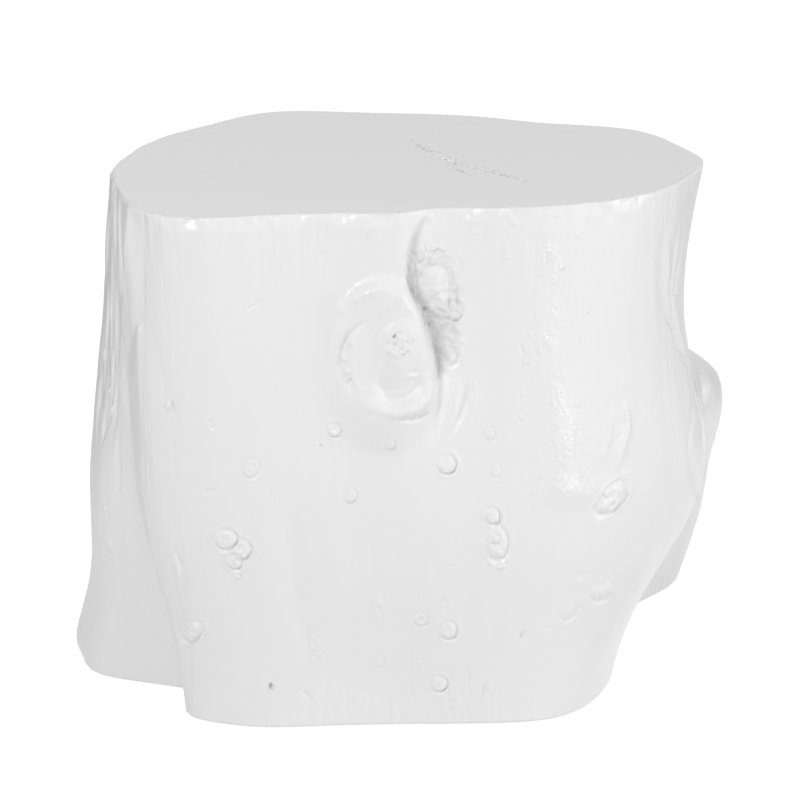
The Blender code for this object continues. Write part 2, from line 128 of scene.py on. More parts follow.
# The skin's panels, each small enough for the export to keep whole: bearing shares and the width of a cell
PANELS = (
    ("wall_left", 0.433, 0.620, 1.3 * MM),
    ("wall_front_left", 0.620, 0.767, 1.1 * MM),
    ("wall_front_right", 0.767, 0.900, 1.1 * MM),
    ("wall_right", 0.900, 1.053, 1.2 * MM),
    ("wall_burl", 1.053, 1.180, 1.3 * MM),
    ("wall_back", 1.180, 1.433, 2.2 * MM),
)
ROW_HEIGHT = 1.15 * MM
LINING_STEP = 8
FOOT_ROWS = 4
EDGE_ROWS = 8
OUTLINE_SAMPLES = 2000
BOX_SAMPLES = 400

# The seat's rings, as shares of the way from its middle to its edge: close at the edge, even over the face, and two
# small ones round the pole
SEAT_RING_SHARES = np.concatenate([np.linspace(1, 0.86, 6)[:-1], np.linspace(0.86, 0.10, 76), [0.06, 0.03]])

# Everything below that holds picture points (across, down) is read off the photograph.

# The knot, a healed branch scar: its ring, the bowl inside it and the button in the bowl
KNOT_PX = (383, 357)
KNOT_HALF_PX = (50, 78)
KNOT_SWELL = 8.5 * MM
BOWL_PX = (393, 358)
BOWL_HALF_PX = (40, 52)
BOWL_DEPTH = 6.0 * MM
BUTTON_PX = (399, 343)
BUTTON_HALF_PX = (25, 26)
BUTTON_RISE = 2.6 * MM

# The left lobe: how far across its lean begins, then by points down the picture how far across its sharp back edge
# lies, how far it leans out (in millimetres), and how far across the folded strip beside it ends
LOBE_FRONT = 143
LOBE_EDGE = ((190, 225, 260, 320, 390, 450), (130, 133, 133, 131, 125, 116))
LOBE_LEAN = ((186, 215, 250, 340, 400, 470), (0, 4.0, 7.0, 6.6, 3.4, 0))
FOLDS_END = ((170, 196, 220, 282, 320, 393, 430, 460, 720), (112, 126, 129, 129, 126, 119, 108, 98, 90))

# Ovals, as middle and half sizes: the calm ground round the knot, the broken bark in the crevice, its smoother big
# lump, the bark on the knot's button, and a patch of strong grain
KNOT_CALM = ((400, 345), (90, 120))
GULLY_BARK = ((436, 312), (24, 66))
LUMP_BARK = ((438, 286), (13, 22))
BUTTON_BARK = ((397, 346), (13, 14))
GRAIN_PATCH = ((303, 250), (34, 34))

# The crevice beside the knot: down, left edge, the gully's right edge, the whole hollow's right edge, and depth in
# millimetres
CREVICE = (
    (216, 424, 430, 432, 0), (226, 416.5, 429, 440, 3), (239, 410, 425, 452, 6), (257, 405.4, 424, 462, 8.4),
    (273, 404, 426, 468, 9.4), (286, 405.4, 429, 469, 10), (296, 409, 433, 468, 9.6), (304, 414.4, 438, 469, 9.4),
    (314, 419, 443, 471, 9.4), (325, 422.5, 447, 472, 9.8), (336, 426, 450, 472, 10.4), (347, 429, 452, 472, 10.4),
    (358, 432.4, 452, 470, 9.4), (366, 433, 450, 468, 8.2), (377, 433, 448, 464, 6.4), (390, 434, 446, 458, 4.6),
    (406, 434.3, 444, 452, 3.3), (422, 433, 441, 448, 2.2), (440, 431, 437, 443, 1), (456, 430, 433, 438, 0),
)

# Furrows and ridges: runs of (across, down, half width in pixels, height in millimetres, below zero for a furrow)
STROKES = (
    # the crescent in the knot's left side and the creases round its button
    ((368, 321, 2, 0), (358, 327, 3, -2), (349, 337, 3.6, -3.4), (343, 351, 4, -3.8), (341.5, 365, 4, -3.4),
     (345, 379, 3.2, -2.6), (352, 390, 2.4, -0.6)),
    ((404, 319, 2.6, -0.3), (391, 322, 3, -1), (381, 331, 3.4, -1), (376.5, 344, 3.4, -0.9),
     (379, 359, 3.4, -0.6), (387, 369, 3.4, -0.5), (399, 375, 3, -0.4), (412, 374, 2.4, -0.1)),
    ((400, 309, 2.6, -0.2), (385, 313, 3.2, -0.7), (373, 325, 3.4, -0.7), (367, 342, 3.4, -0.4),
     (368, 360, 3.4, -0.2)),
    ((331, 352, 3, -0.2), (331, 370, 3.4, -0.9), (334, 388, 2.4, -0.7), (341, 408, 1.8, -0.4)),
    ((357, 327, 2.2, 0.3), (352, 342, 2.6, 1), (350.6, 358, 2.6, 1.1), (353, 376, 2.6, 1), (359, 392, 2.6, 0.5)),
    ((352, 398, 5, 0.2), (372, 409, 5, 1.2), (396, 414, 5, 2.4), (417, 410, 5, 3), (429, 400, 4.4, 2.4),
     (432, 386, 3.6, 1)),
    ((401, 421, 1.4, -0.6), (411, 421, 1.7, -2.6), (419, 418.5, 1.8, -3), (427, 414, 1.6, -1.4)),
    ((410, 372.6, 1.1, -0.6), (416, 373, 1.3, -1.5), (420, 372.6, 1, -0.6)),
    ((370, 396, 2.4, -0.4), (384, 402, 3, -1.2), (398, 405, 3, -1.4), (411, 400, 2.8, -1.2),
     (419, 386, 2.4, -0.4)),
    ((372, 366, 15, 0.8), (390, 371, 19, 2.9), (402, 371, 19, 2.9), (414, 362, 13, 1)),
    ((372, 384, 1.4, 0.1), (385, 391, 1.5, -0.5), (400, 392, 1.5, -0.5), (412, 385, 1.4, -0.1)),
    ((376, 378, 1.4, 0.1), (388, 384, 1.5, -0.4), (401, 385, 1.5, -0.4), (411, 379, 1.4, -0.1)),
    ((334, 318, 5, 0.2), (343, 307, 6, 1.8), (352, 299, 6.6, 2.8), (363, 292, 6.8, 3.2), (375, 288, 6, 2.4),
     (388, 287, 4, 0.2)),
    # the ledge under the glossy patch
    ((546, 489, 12, 0.5), (562, 492, 13, 2), (582, 493, 13, 2.2), (602, 489, 12, 0.8)),
    # the ridge and groove below the crevice
    ((456, 376, 4, 0.2), (456, 388, 4.8, 1.2), (454, 402, 5.4, 1.6), (451, 416, 5, 1.2), (447, 430, 4, 0.6),
     (442, 444, 3, 0.1)),
    ((467, 382, 2, -0.2), (467.6, 392, 3.4, -1.8), (465.4, 404, 3.4, -2.2), (460, 418, 3, -1.8),
     (453, 432, 2.4, -1.2), (445.6, 446, 2, -0.3)),
    ((472, 378, 3.4, 0.2), (474, 390, 3.6, 1), (472, 406, 3.4, 0.9), (466, 420, 3, 0.4)),
    ((436, 384, 3.6, -0.6), (439, 400, 4.6, -1.2), (439.6, 414, 4.8, -1.4), (436, 432, 4.8, -1.2),
     (431, 452, 4, -0.2)),
    ((416, 436, 1.2, 0.1), (416.6, 442, 1.4, 0.6), (416, 449, 1.2, 0.1)),
    # bark splinters in the crevice
    ((417, 254, 1.4, -0.6), (423, 259, 1.5, -1.8), (427, 268, 1.4, -1.2), (426, 277, 1.2, -0.4)),
    ((422, 250, 1.6, 0.4), (429, 256, 1.8, 1.2), (433, 264, 1.6, 0.5)),
    ((414, 262, 1.4, 0.4), (418, 272, 1.8, 1.6), (420, 284, 1.8, 1.8), (421, 298, 1.8, 1.2), (424, 310, 1.4, 0.3)),
    ((410, 276, 1.2, -0.6), (412.6, 284, 1.6, -2.4), (417, 294, 1.6, -2.6), (421, 306, 1.8, -2),
     (425, 318, 1.4, -0.6)),
    ((431, 312, 1.8, -1), (437, 318, 2, -2.4), (443, 322, 1.6, -2), (445, 332, 1.8, -2.2),
     (443, 344, 1.6, -0.8)),
    ((430, 326, 1.6, 0.6), (433, 336, 2, 1.6), (436, 348, 1.8, 1), (438, 358, 1.4, 0.2)),
    ((448, 318, 1.6, -1), (450, 326, 1.8, -2), (454, 333, 1.6, -1.6), (462, 338, 1.4, -0.6)),
    ((447, 343, 1.4, -0.6), (453, 345, 1.5, -1.2), (460, 344, 1.3, -0.5)),
    ((446, 351, 1.6, -1), (448.6, 347.6, 1.5, -1), (455, 349, 1.6, -1.6), (459, 356, 1.7, -2),
     (457, 364, 1.6, -1.6), (450, 368, 1.4, -0.8)),
    ((455, 254, 2, -0.2), (460, 262, 2, -0.9), (462.5, 271, 2, -0.9), (460, 284, 2, -0.3)),
    ((417, 436, 1, -0.5), (418.5, 441, 1.1, -0.9), (418, 446, 1, -0.4)),
    # the left lobe: its sharp back edge, the two grooves and the long fold against the front lobe
    ((135, 204, 3, -0.3), (137, 222, 4.4, -2), (138.4, 238, 3.8, -1.8), (139.6, 256, 2.6, -1.1),
     (140.6, 276, 2.4, -1.3), (139.6, 300, 2.4, -0.9), (140, 318, 2.4, -1.3), (136.6, 336, 2.6, -1.2),
     (134.4, 352, 3, -1.4), (132.6, 374, 3.2, -1), (134.6, 400, 3.4, -1.3), (136.2, 424, 3.8, -0.9),
     (141, 445, 4.4, -1), (147, 470, 5, -0.6), (153, 500, 5, -0.3)),
    ((148, 204, 7, -0.3), (149, 240, 8, -1.2), (148, 290, 8, -1), (150, 335, 7, -0.8),
     (157, 366, 6, -0.6), (167, 394, 5, -0.3)),
    ((127, 190, 3, 0), (129, 206, 3, -1), (129, 222, 2.4, -0.6), (129, 236, 2, 0)),
    ((147, 206, 2.6, 0.3), (148, 222, 2.8, 1.2), (149, 244, 2.6, 0.6), (149, 262, 2, 0)),
    ((126, 372, 3, 0.2), (127, 400, 3.4, 1), (129, 430, 3.4, 0.8), (132, 460, 3, 0.1)),
    ((118, 404, 2.4, -0.2), (119, 430, 2.8, -1.2), (119, 470, 3, -1), (119, 500, 3, -0.2)),
    ((170, 545, 2, -0.2), (178.5, 560, 2.4, -1.2), (183.5, 572, 2, -2.4), (185.4, 588, 1.8, -2.2),
     (184, 602, 1.6, -0.8)),
    ((175, 558, 1.6, 0.3), (179, 572, 2, 1.6), (180.8, 586, 2.2, 1.8), (180, 598, 1.8, 0.4)),
    ((182, 532, 1.8, 0.1), (185, 545, 2, 0.8), (187, 560, 1.8, 0.7), (186, 570, 1.6, 0.1)),
    ((168, 560, 4, -0.4), (176, 590, 5, -1.4), (181, 622, 5, -2.2), (186, 650, 4.6, -2.4),
     (187, 690, 4.2, -2), (187, 715, 4, -1.6)),
    ((116, 470, 5, 0), (117, 520, 6, -1), (119, 580, 6, -1.2), (123, 640, 5, -0.6)),
    ((99, 480, 4, 0), (97, 540, 4, 0.9), (96, 600, 4, 0.6)),
    # the shallow valley down the front and the faint waves beside it
    ((292, 478, 9, 0), (291, 530, 10, -1.8), (293, 580, 10, -1.9), (300, 630, 10, -0.8),
     (306, 664, 8, 0)),
    ((330, 500, 12, 0), (334, 560, 13, 0.9), (338, 640, 12, 0.5), (340, 690, 10, 0)),
    ((255, 470, 10, 0), (262, 520, 11, 0.9), (262, 590, 11, 0.8), (264, 660, 10, 0)),
    ((308, 626, 1.2, -0.4), (307.6, 645, 1.3, -0.9), (308, 664, 1.2, -0.4)),
    # grooves round the low marks at the right
    ((591, 599, 1.4, -0.4), (597, 602, 1.7, -1.2), (605, 600.4, 1.7, -1.3), (612, 595, 1.4, -0.8)),
    ((573.6, 603, 1.3, -0.3), (577, 609, 1.7, -1.2), (573.6, 617, 1.9, -1.5), (566, 621.4, 1.5, -0.7),
     (560, 617.4, 1.3, -0.3)),
    # slits and scratches on the front
    ((243, 313, 0.9, -0.5), (252, 307, 1.1, -1.2), (261, 301, 0.9, -0.5)),
    ((546.4, 254, 1, -0.5), (546.8, 262, 1.1, -1), (547, 271, 1, -0.5)),
    ((550.2, 254, 1, -0.5), (550.4, 262, 1.1, -1), (550.6, 271, 1, -0.5)),
    ((520, 343, 1, -0.5), (522, 350, 1.2, -1.3), (525, 358, 1, -0.5)),
    ((536, 348, 1.2, -0.5), (537, 356, 1.2, -0.9)),
    ((578.6, 336, 0.9, -0.6), (579.4, 344, 0.9, -0.6)),
    ((519, 392, 1.2, -0.6), (520.4, 399, 1.2, -0.8)),
    ((411.5, 682, 1.1, -0.6), (411.6, 690, 1.2, -1.1), (411, 698, 1, -0.5)),
    ((484, 684, 1.2, -0.7), (483.4, 693, 1.4, -1.6), (481.6, 703, 1.2, -0.8)),
    ((467.6, 671, 1.1, -0.5), (468.6, 682, 1.2, -0.9)),
    ((522.4, 633, 1.2, -1.6), (521, 638, 1.2, -2)),
    ((637, 583, 1.3, -0.8), (633.6, 589, 1.5, -2), (630.6, 595, 1.2, -0.8)),
    ((411, 688, 1.4, 0), (414, 694, 1.4, 0.4)),
    # the glossy ridges right of the middle
    ((622, 376, 1.8, 0.2), (623.6, 384, 2.2, 1), (622.6, 392, 1.8, 0.3)),
    ((622, 404, 1.8, 0.4), (626.6, 412, 2.4, 1.9), (628.4, 424, 2.5, 2.1), (626, 437, 2.5, 2),
     (621.4, 451, 2.6, 2.1), (618.8, 461, 2.5, 1.7), (619, 470, 2, 0.4)),
    ((612, 414, 1.8, 0.2), (611.6, 424, 2.2, 1.1), (608.4, 442, 2.2, 1.3), (604.6, 456, 1.8, 0.3)),
    # the right side: its creases, the line against the burl and the burl's crack
    ((665.4, 228, 2, -0.3), (662.4, 252, 2.4, -1.6), (661, 278, 2.4, -1.8), (664, 304, 2.4, -1.8),
     (670.6, 322, 2.2, -2), (677.6, 339, 2, -2.2), (682, 352, 2, -2.2), (686.5, 366, 1.8, -1.6),
     (690, 376, 1.6, -0.8)),
    ((677.6, 226, 1.6, -0.4), (675.2, 250, 1.8, -2), (673.6, 270, 1.8, -2.2), (671.6, 288, 1.8, -2),
     (671.8, 308, 1.8, -1.8), (676, 328, 1.8, -2.4), (680.4, 349, 1.8, -2.2)),
    ((684.5, 218, 1.4, -0.4), (683, 236, 1.6, -1.8), (680, 256, 1.6, -1.6), (677, 275, 1.6, -1.8),
     (674.6, 294, 1.6, -1.4)),
    ((668, 240, 2.4, 0.3), (668, 262, 2.6, 1.2), (667, 290, 2.6, 1), (672, 316, 2.2, 0.4)),
    ((655, 232, 3, 0), (652, 270, 3.4, 0.7), (654, 310, 3.4, 0.6), (664, 350, 3, 0)),
    ((692, 388, 1.4, -0.5), (693.4, 404, 1.6, -1.6), (692.6, 420, 1.6, -1.8), (689.8, 440, 1.6, -2),
     (689.2, 460, 1.6, -2.2), (690.4, 476, 1.6, -2.2), (693.6, 489, 1.6, -2.2), (697, 500, 1.4, -1.4)),
    ((695, 440, 1.4, 0.3), (695, 460, 1.6, 0.9), (695.4, 478, 1.4, 0.5)),
    ((701, 366, 1.4, -0.6), (704.6, 380, 1.6, -1.8), (706.4, 394, 2, -3.4), (705.6, 402, 2, -3.2),
     (703.6, 412, 1.6, -1.8), (701, 426, 1.4, -0.6)),
    ((707, 372, 1.6, 0.4), (709.6, 382, 1.8, 1.4), (711, 392, 1.6, 0.5)),
    # drips near the foot of the front
    ((342, 692, 1.3, 0.3), (342.6, 698, 1.5, 0.9), (343.4, 702, 1.2, 0.3)),
    ((356.6, 692, 1.3, 0.3), (355.4, 699, 1.5, 1), (354, 704, 1.2, 0.3)),
    ((329, 689, 1.2, 0.2), (329.6, 694, 1.3, 0.6)),
    ((373, 700, 1.4, 0.3), (375, 705, 1.5, 0.7)),
    ((317, 700, 1.3, 0.3), (318, 706, 1.3, 0.6)),
    ((301, 693, 1.3, -0.4), (307, 693.6, 1.5, -1.3), (309, 699, 1.3, -0.6)),
)

# Round marks: (across, down, half width and half height in pixels, turn in degrees, height in millimetres, kind)
MARKS = (
    # in the crevice
    (437, 288, 14, 25, -6, 3.8, "lump"), (434, 272, 8, 9, 0, 0.8, "lump"),
    (441, 300, 7, 8, 0, 1, "lump"), (454.4, 312.6, 9, 9.4, 0, 2.2, "bead"),
    (443, 309, 6, 4, 20, 1.4, "lump"), (457, 329, 7, 5, 20, 1.8, "lump"),
    (463, 341, 5, 5, 0, 1, "lump"), (452, 358, 6, 7, 0, 1.8, "lump"), (431, 312, 1.9, 2.4, 0, -2.6, "pit"),
    (412, 280.6, 2.2, 2.6, 0, -2.2, "pit"), (417, 300, 1.8, 3.4, -20, -2, "pit"),
    # on the knot
    (344.6, 359.5, 3.4, 3.6, 0, 2.4, "lump"), (347, 372, 3.6, 4.2, -20, 2.2, "lump"),
    (350.4, 381.5, 2.2, 2.4, 0, -1.8, "pit"), (349.6, 346.6, 1.5, 1.8, 0, -1.4, "pit"),
    (394.6, 337, 1.9, 2.6, 20, -3.4, "pit"), (406.4, 342.3, 1.3, 1.3, 0, -1.5, "pit"),
    (387, 343, 1.4, 1.4, 0, -1.4, "pit"), (402, 349.4, 1.7, 1.5, 0, -1.6, "pit"),
    (408, 352.4, 1.6, 1.6, 0, -1.4, "pit"), (412.5, 341, 1.4, 1.4, 0, -1.2, "pit"),
    (396, 345, 1.4, 1.3, 0, -1.4, "pit"), (400, 333, 1.2, 1.4, 0, -1.2, "pit"),
    (403.6, 355.4, 1.3, 1.3, 0, -1.2, "pit"), (390, 350.4, 1.9, 2.4, 30, 0.9, "lump"),
    (383.6, 349, 2, 3.2, -20, 0.8, "lump"), (412.8, 381.4, 2.2, 2.6, 0, -1.2, "pit"),
    (400.4, 417.6, 2.4, 2.2, 0, 1.3, "lump"), (406, 416.8, 2, 2, 0, 1.2, "lump"),
    (389, 276.8, 4.6, 5, 0, 0.8, "lump"), (430.4, 362, 1.4, 2.4, 0, -0.6, "pit"),
    (401, 297, 3.4, 7, 20, 1, "lump"),
    # healed twigs on the front
    (334.4, 430.5, 6.2, 6.6, 0, 2, "bead"), (391, 445, 4.6, 4.4, 0, 1.4, "bead"),
    (320.6, 446.4, 1.7, 1.7, 0, -1.5, "pit"), (351, 496.8, 5.6, 5.8, 0, 1.7, "bead"),
    (250.4, 468.6, 8, 9, 0, 1.3, "ring"), (211.4, 424.4, 3, 6, -12, -1.2, "ring"),
    (168.8, 407, 3.6, 6, 0, 1.8, "lump"), (172.6, 407, 1.6, 6.4, -6, -2.4, "pit"),
    (490.4, 434, 4.8, 6, 0, 1.2, "ring"), (495.4, 470, 5.2, 6.6, 0, 1.1, "ring"),
    (447.2, 465.6, 8, 8.4, 0, 2.6, "bead"), (457, 461, 2.6, 9, -10, 1.1, "lump"),
    (493.2, 516.2, 7.2, 7.6, 0, 2.6, "bead"), (496.8, 544, 9.6, 17, -2, 2.2, "bead"),
    (495.4, 538.6, 4.2, 4.8, 0, 1.5, "ring"), (498, 552, 4.6, 5.4, 0, 1.4, "lump"),
    (484, 556.4, 1.8, 2, 0, 1, "lump"), (492, 563.4, 2.4, 1.8, 0, 1.1, "lump"),
    (501.6, 566.6, 5, 2.2, -16, 1.5, "lump"), (225.4, 539.4, 10.6, 10, -16, 2.7, "bead"),
    (242, 550.4, 8.2, 9.8, 10, 2.6, "bead"), (234.4, 561.6, 8, 6.6, 10, 2.4, "bead"),
    (237, 575.4, 4, 5, 0, 1.2, "bead"), (236, 552, 5, 4, 0, 0.9, "lump"),
    (190.6, 631.4, 10.4, 10.4, 0, 2.4, "bead"), (186.6, 626, 3.4, 3.4, 0, 1.2, "lump"),
    (194, 627, 3.4, 3.4, 0, 1.2, "lump"), (189.4, 635, 3.6, 3.6, 0, 1.4, "lump"),
    (196, 636, 3, 3, 0, 1, "lump"), (611.4, 498.8, 19, 9.4, -50, 3, "bead"),
    (619.4, 490, 5.4, 6.6, 0, 1.1, "lump"), (603.4, 505.4, 5, 6, 0, 1, "lump"),
    (604, 496.6, 3.4, 1.6, 24, -1.3, "pit"), (612, 504.6, 2.6, 4, 30, -1.6, "pit"),
    (595.4, 593.2, 3.6, 8, 0, 1.8, "lump"), (601.6, 592.6, 3.4, 8.6, 0, 1.8, "lump"),
    (608.6, 588.4, 4.6, 9, 8, 2, "lump"), (567, 611.4, 9, 9.6, 0, 0.8, "lump"),
    (580.6, 576, 5, 5, 0, -0.7, "pit"), (547, 629, 2.6, 5, 0, -0.6, "pit"),
    (421, 619.8, 5.8, 6.2, 0, 1.5, "ring"), (421, 619.8, 2.2, 2.4, 0, -1.1, "pit"),
    (448.8, 630.6, 7.8, 8.2, 0, 2.5, "bead"), (439.3, 684.6, 7, 7.4, 0, 2.5, "bead"),
    (270.8, 687, 2.4, 4, 0, -5, "pit"), (272.4, 696.4, 2.4, 3, 0, 0.7, "lump"),
    (321.7, 252.3, 1.3, 1.3, 0, -0.9, "pit"), (357.4, 523.6, 1.8, 1.8, 0, 0.6, "bead"),
    (458.2, 541, 2.2, 2.2, 0, 0.8, "bead"), (452, 563.2, 3, 3, 0, 0.6, "ring"),
    (380.4, 603.6, 5.4, 5.4, 0, 0.9, "lump"), (416.8, 661, 5.6, 6.4, 0, 0.9, "ring"),
    (378.4, 661, 4.4, 5.6, 0, 0.7, "ring"), (317, 649, 7, 8, 0, 0.6, "ring"),
    (186, 478.6, 1.8, 1.8, 0, -0.8, "pit"), (209.6, 491.6, 7, 3, -8, -0.6, "pit"),
    (522, 413.4, 3.4, 7, 14, 0.9, "ring"), (577, 402, 4.6, 5.4, 0, 0.8, "ring"),
    (275, 389, 3, 4, 0, 0.4, "ring"), (206, 569, 3, 5, 0, 0.4, "lump"),
    (213.8, 619.6, 2, 3.6, 0, 0.7, "lump"), (452, 705, 3.4, 3.4, 0, 0.6, "ring"),
    (541, 475, 3, 4, 0, 0.5, "lump"), (533, 493, 3, 3, 0, 0.6, "ring"),
    # on the left lobe
    (110.2, 546.6, 2.8, 9, -8, 2.2, "lump"), (105, 509, 2.2, 5, 0, 1.4, "lump"),
    (122.4, 490, 4, 5.4, -10, 1.2, "lump"), (103, 308.6, 2.6, 6, 0, 3.2, "lump"),
    (112.6, 311, 1.8, 22, 0, 1.2, "lump"), (140.4, 329, 1.8, 6, 0, 1.2, "lump"),
    (106, 353, 1.8, 9, 0, 1.6, "lump"), (109, 390, 1.8, 6, 0, 1.6, "lump"),
    (112.4, 410, 2.2, 6, 16, 2, "lump"),
    # under the rim and on the right
    (430, 218, 3, 6, 0, 1.4, "lump"), (508.4, 215, 5, 3.4, 0, 1, "lump"),
    (514.6, 222.6, 5.6, 4.6, 0, 1.4, "lump"), (506.6, 256, 5.4, 6.4, 0, 1.1, "lump"),
    (470, 219, 4.4, 8, 0, 1.3, "lump"), (478, 232, 3.4, 5, 0, 0.7, "lump"), (559, 215, 7, 3, -6, 1, "lump"),
    (578, 235, 3.6, 4.6, 0, 0.7, "lump"), (562, 267.6, 2.6, 2.6, 0, 0.8, "bead"),
    (554, 280, 4.6, 5.4, 0, 0.7, "ring"), (584.6, 312.6, 2.6, 2.6, 0, 0.9, "bead"),
    (530, 334, 3, 3, 0, 0.8, "bead"), (526, 362, 3, 3, 0, 0.9, "bead"),
    (685.6, 279, 2, 5, 0, 2.4, "lump"), (695.4, 378.6, 2.6, 3.4, 0, 0.9, "lump"),
    (602, 204, 5, 2.6, -8, 0.8, "lump"),
)

# Broad, gentle swellings and hollows, in the same terms
SWELLS = (
    (566, 452, 40, 60, 0, 1.6), (450, 640, 70, 60, 0, 0.8), (180, 430, 24, 90, 0, 0.8), (250, 350, 60, 110, 0, 0.8),
    (620, 300, 50, 90, 0, 0.8), (560, 320, 22, 90, 0, -0.8), (590, 640, 40, 40, -30, -0.8),
    (500, 600, 40, 90, 0, 0.6), (640, 560, 16, 46, 30, 1),
)

# Where the seat's edge is rubbed to a soft shoulder: (across, half width, strength)
SHOULDERS = (
    (197, 24, 1.1), (164, 12, 0.9), (238, 14, 0.8), (262, 10, 0.6), (292, 13, 1), (350, 14, 1.1), (380, 14, 1),
    (473, 10, 0.9), (515, 11, 1.1), (552, 12, 0.6), (590, 12, 0.6), (630, 16, 0.9),
)
SHOULDER_HEIGHT = 12 * MM
SHOULDER_DEPTH = 3.2 * MM
SHOULDER_ROUGHNESS = 0.5 * MM

# Heights of what the noises below shape
RING_HEIGHT = 0.16 * MM
PEBBLE_HEIGHT = 0.20 * MM
UNDER_EDGE_HEIGHT = 0.50 * MM
SEAT_PIT_DEPTH = 2.4 * MM
SEAT_LIP_HEIGHT = 0.20 * MM
SEAT_WAVE_HEIGHT = 0.05 * MM

# Noises, as layers of (weight, cell in metres, seed). The folds' and the bark's weights are in millimetres.
FLUTES = ((1, (0.030, 0.030, 0.26), 3), (0.5, (0.013, 0.013, 0.12), 5))
FOLDS = ((2.1, (0.010, 0.010, 0.075), 13), (1.1, (0.005, 0.005, 0.045), 14))
GRAIN = ((1, (0.0046, 0.0046, 0.07), 9), (0.6, (0.0026, 0.0026, 0.04), 11))
BREAKS = ((0.9, 0.011, 82), (0.8, 0.005, 83))
PEBBLES = ((0.8, 0.0034, 21), (0.8, 0.0022, 22))
BARK = ((0.8, 0.0042, 32), (0.7, (0.0024, 0.0024, 0.0040), 33))
BARK_CREASES = ((1, (0.0060, 0.0060, 0.0085), 31),)
UNDER_EDGE = ((1, (0.011, 0.011, 0.012), 41), (0.3, (0.004, 0.004, 0.006), 42))
SHOULDER_WEAR = ((1, (0.008, 0.008, 0.02), 43),)
SHOULDER_GRIT = ((1, (0.0032, 0.0032, 0.007), 44),)
GRAIN_PATCHES = ((1, (0.05, 0.05, 0.09), 17),)
GLOSS_PATCHES = ((1, (0.05, 0.05, 0.07), 81),)
SEAT_BREAKS = ((1, 0.0034, 51), (0.55, 0.0017, 52), (0.35, 0.0090, 53))
SEAT_LIPS = ((1, 0.006, 54),)
SEAT_WAVES = ((1, (0.05, 0.05, 1), 55),)

# Where the coat is pebbled and glossy: (across, down, half width, half height, strength)
PEBBLED = (
    (557, 404, 9, 24, 0.8), (566, 440, 15, 34, 1.0), (574, 480, 24, 14, 1.0), (548, 262, 15, 26, 0.75),
    (558, 310, 26, 26, 0.4), (545, 345, 26, 20, 0.45), (505, 252, 8, 13, 0.55), (625, 436, 5, 32, 0.9),
    (560, 374, 14, 14, 0.6), (442, 604, 16, 14, 0.45), (378, 606, 12, 14, 0.5), (416, 662, 12, 14, 0.45),
    (318, 652, 16, 22, 0.48), (380, 662, 10, 14, 0.3), (436, 290, 22, 60, 0.5), (452, 345, 16, 40, 0.5),
    (400, 345, 20, 20, 0.6), (348, 360, 12, 34, 0.5), (486, 692, 12, 16, 0.5), (335, 697, 40, 12, 0.28),
    (190, 631, 12, 12, 0.6), (235, 556, 26, 26, 0.5), (612, 434, 14, 40, 0.36), (341, 308, 7, 7, 0.35),
    (350, 297, 8, 7, 1.0), (361, 290, 9, 6, 1.0), (374, 284, 8, 5, 1.0), (407, 304, 6, 14, 0.7),
    (418, 406, 16, 8, 0.6), (456, 404, 10, 30, 0.35), (497, 562, 14, 8, 0.7), (614, 494, 14, 14, 0.5),
    (300, 697, 12, 12, 0.3), (630, 196, 30, 8, 0.5),
)

# The crack across the seat, and its branch: picture points with the half width in millimetres
SEAT_CRACK = (
    (411, 139.5, 1.2), (417, 143.5, 1.6), (423.4, 147.2, 1.8), (435.3, 152.4, 2.6), (447, 159.4, 5),
    (454, 163.6, 5.6), (462, 164.4, 3.6), (472, 166.4, 3.2), (483, 168.6, 4.2), (494, 171.6, 4.2), (503, 174.4, 3.2),
    (514.6, 178.4, 2), (524, 180.6, 1.8), (532, 182.6, 1),
)
SEAT_BRANCH = ((453, 167.6, 1.6), (461, 171.4, 2), (470, 174.6, 1.2))

# Small marks on the seat: (across, down, half width and height in millimetres)
SEAT_MARKS = ((203, 172.4, 1.6, -1.2), (240, 161.6, 3, -0.4), (436, 136, 1.4, -0.3))

# Healed twigs and a second branch scar where the photograph doesn't reach: bearing share, height share, half width
# and half height in millimetres, height in millimetres, kind
HIDDEN_MARKS = (
    (0.270, 0.62, 34, 44, 6, "ring"), (0.270, 0.62, 20, 26, -2.6, "pit"), (0.274, 0.63, 9, 11, 2.4, "bead"),
    (0.205, 0.30, 7, 8, 2, "bead"), (0.232, 0.44, 5, 6, 1.6, "bead"), (0.300, 0.26, 8, 9, 2.2, "ring"),
    (0.318, 0.33, 5, 5, 1.5, "bead"), (0.345, 0.70, 6, 8, 1.8, "bead"), (0.372, 0.52, 9, 12, 2.2, "ring"),
    (0.392, 0.22, 6, 7, 1.8, "bead"), (0.418, 0.66, 5, 7, 1.6, "bead"), (0.165, 0.66, 6, 7, 1.6, "bead"),
    (0.150, 0.20, 9, 8, 2.2, "ring"), (0.120, 0.78, 5, 6, 1.4, "bead"), (0.440, 0.40, 7, 10, 1.9, "ring"),
    (0.255, 0.16, 6, 6, 1.6, "bead"), (0.352, 0.14, 5, 5, 1.4, "bead"), (0.060, 0.17, 6, 7, 1.5, "bead"),
    (0.455, 0.72, 6, 9, 1.6, "ring"), (0.030, 0.86, 5, 6, 1.3, "bead"), (0.190, 0.85, 7, 6, 1.4, "ring"),
)

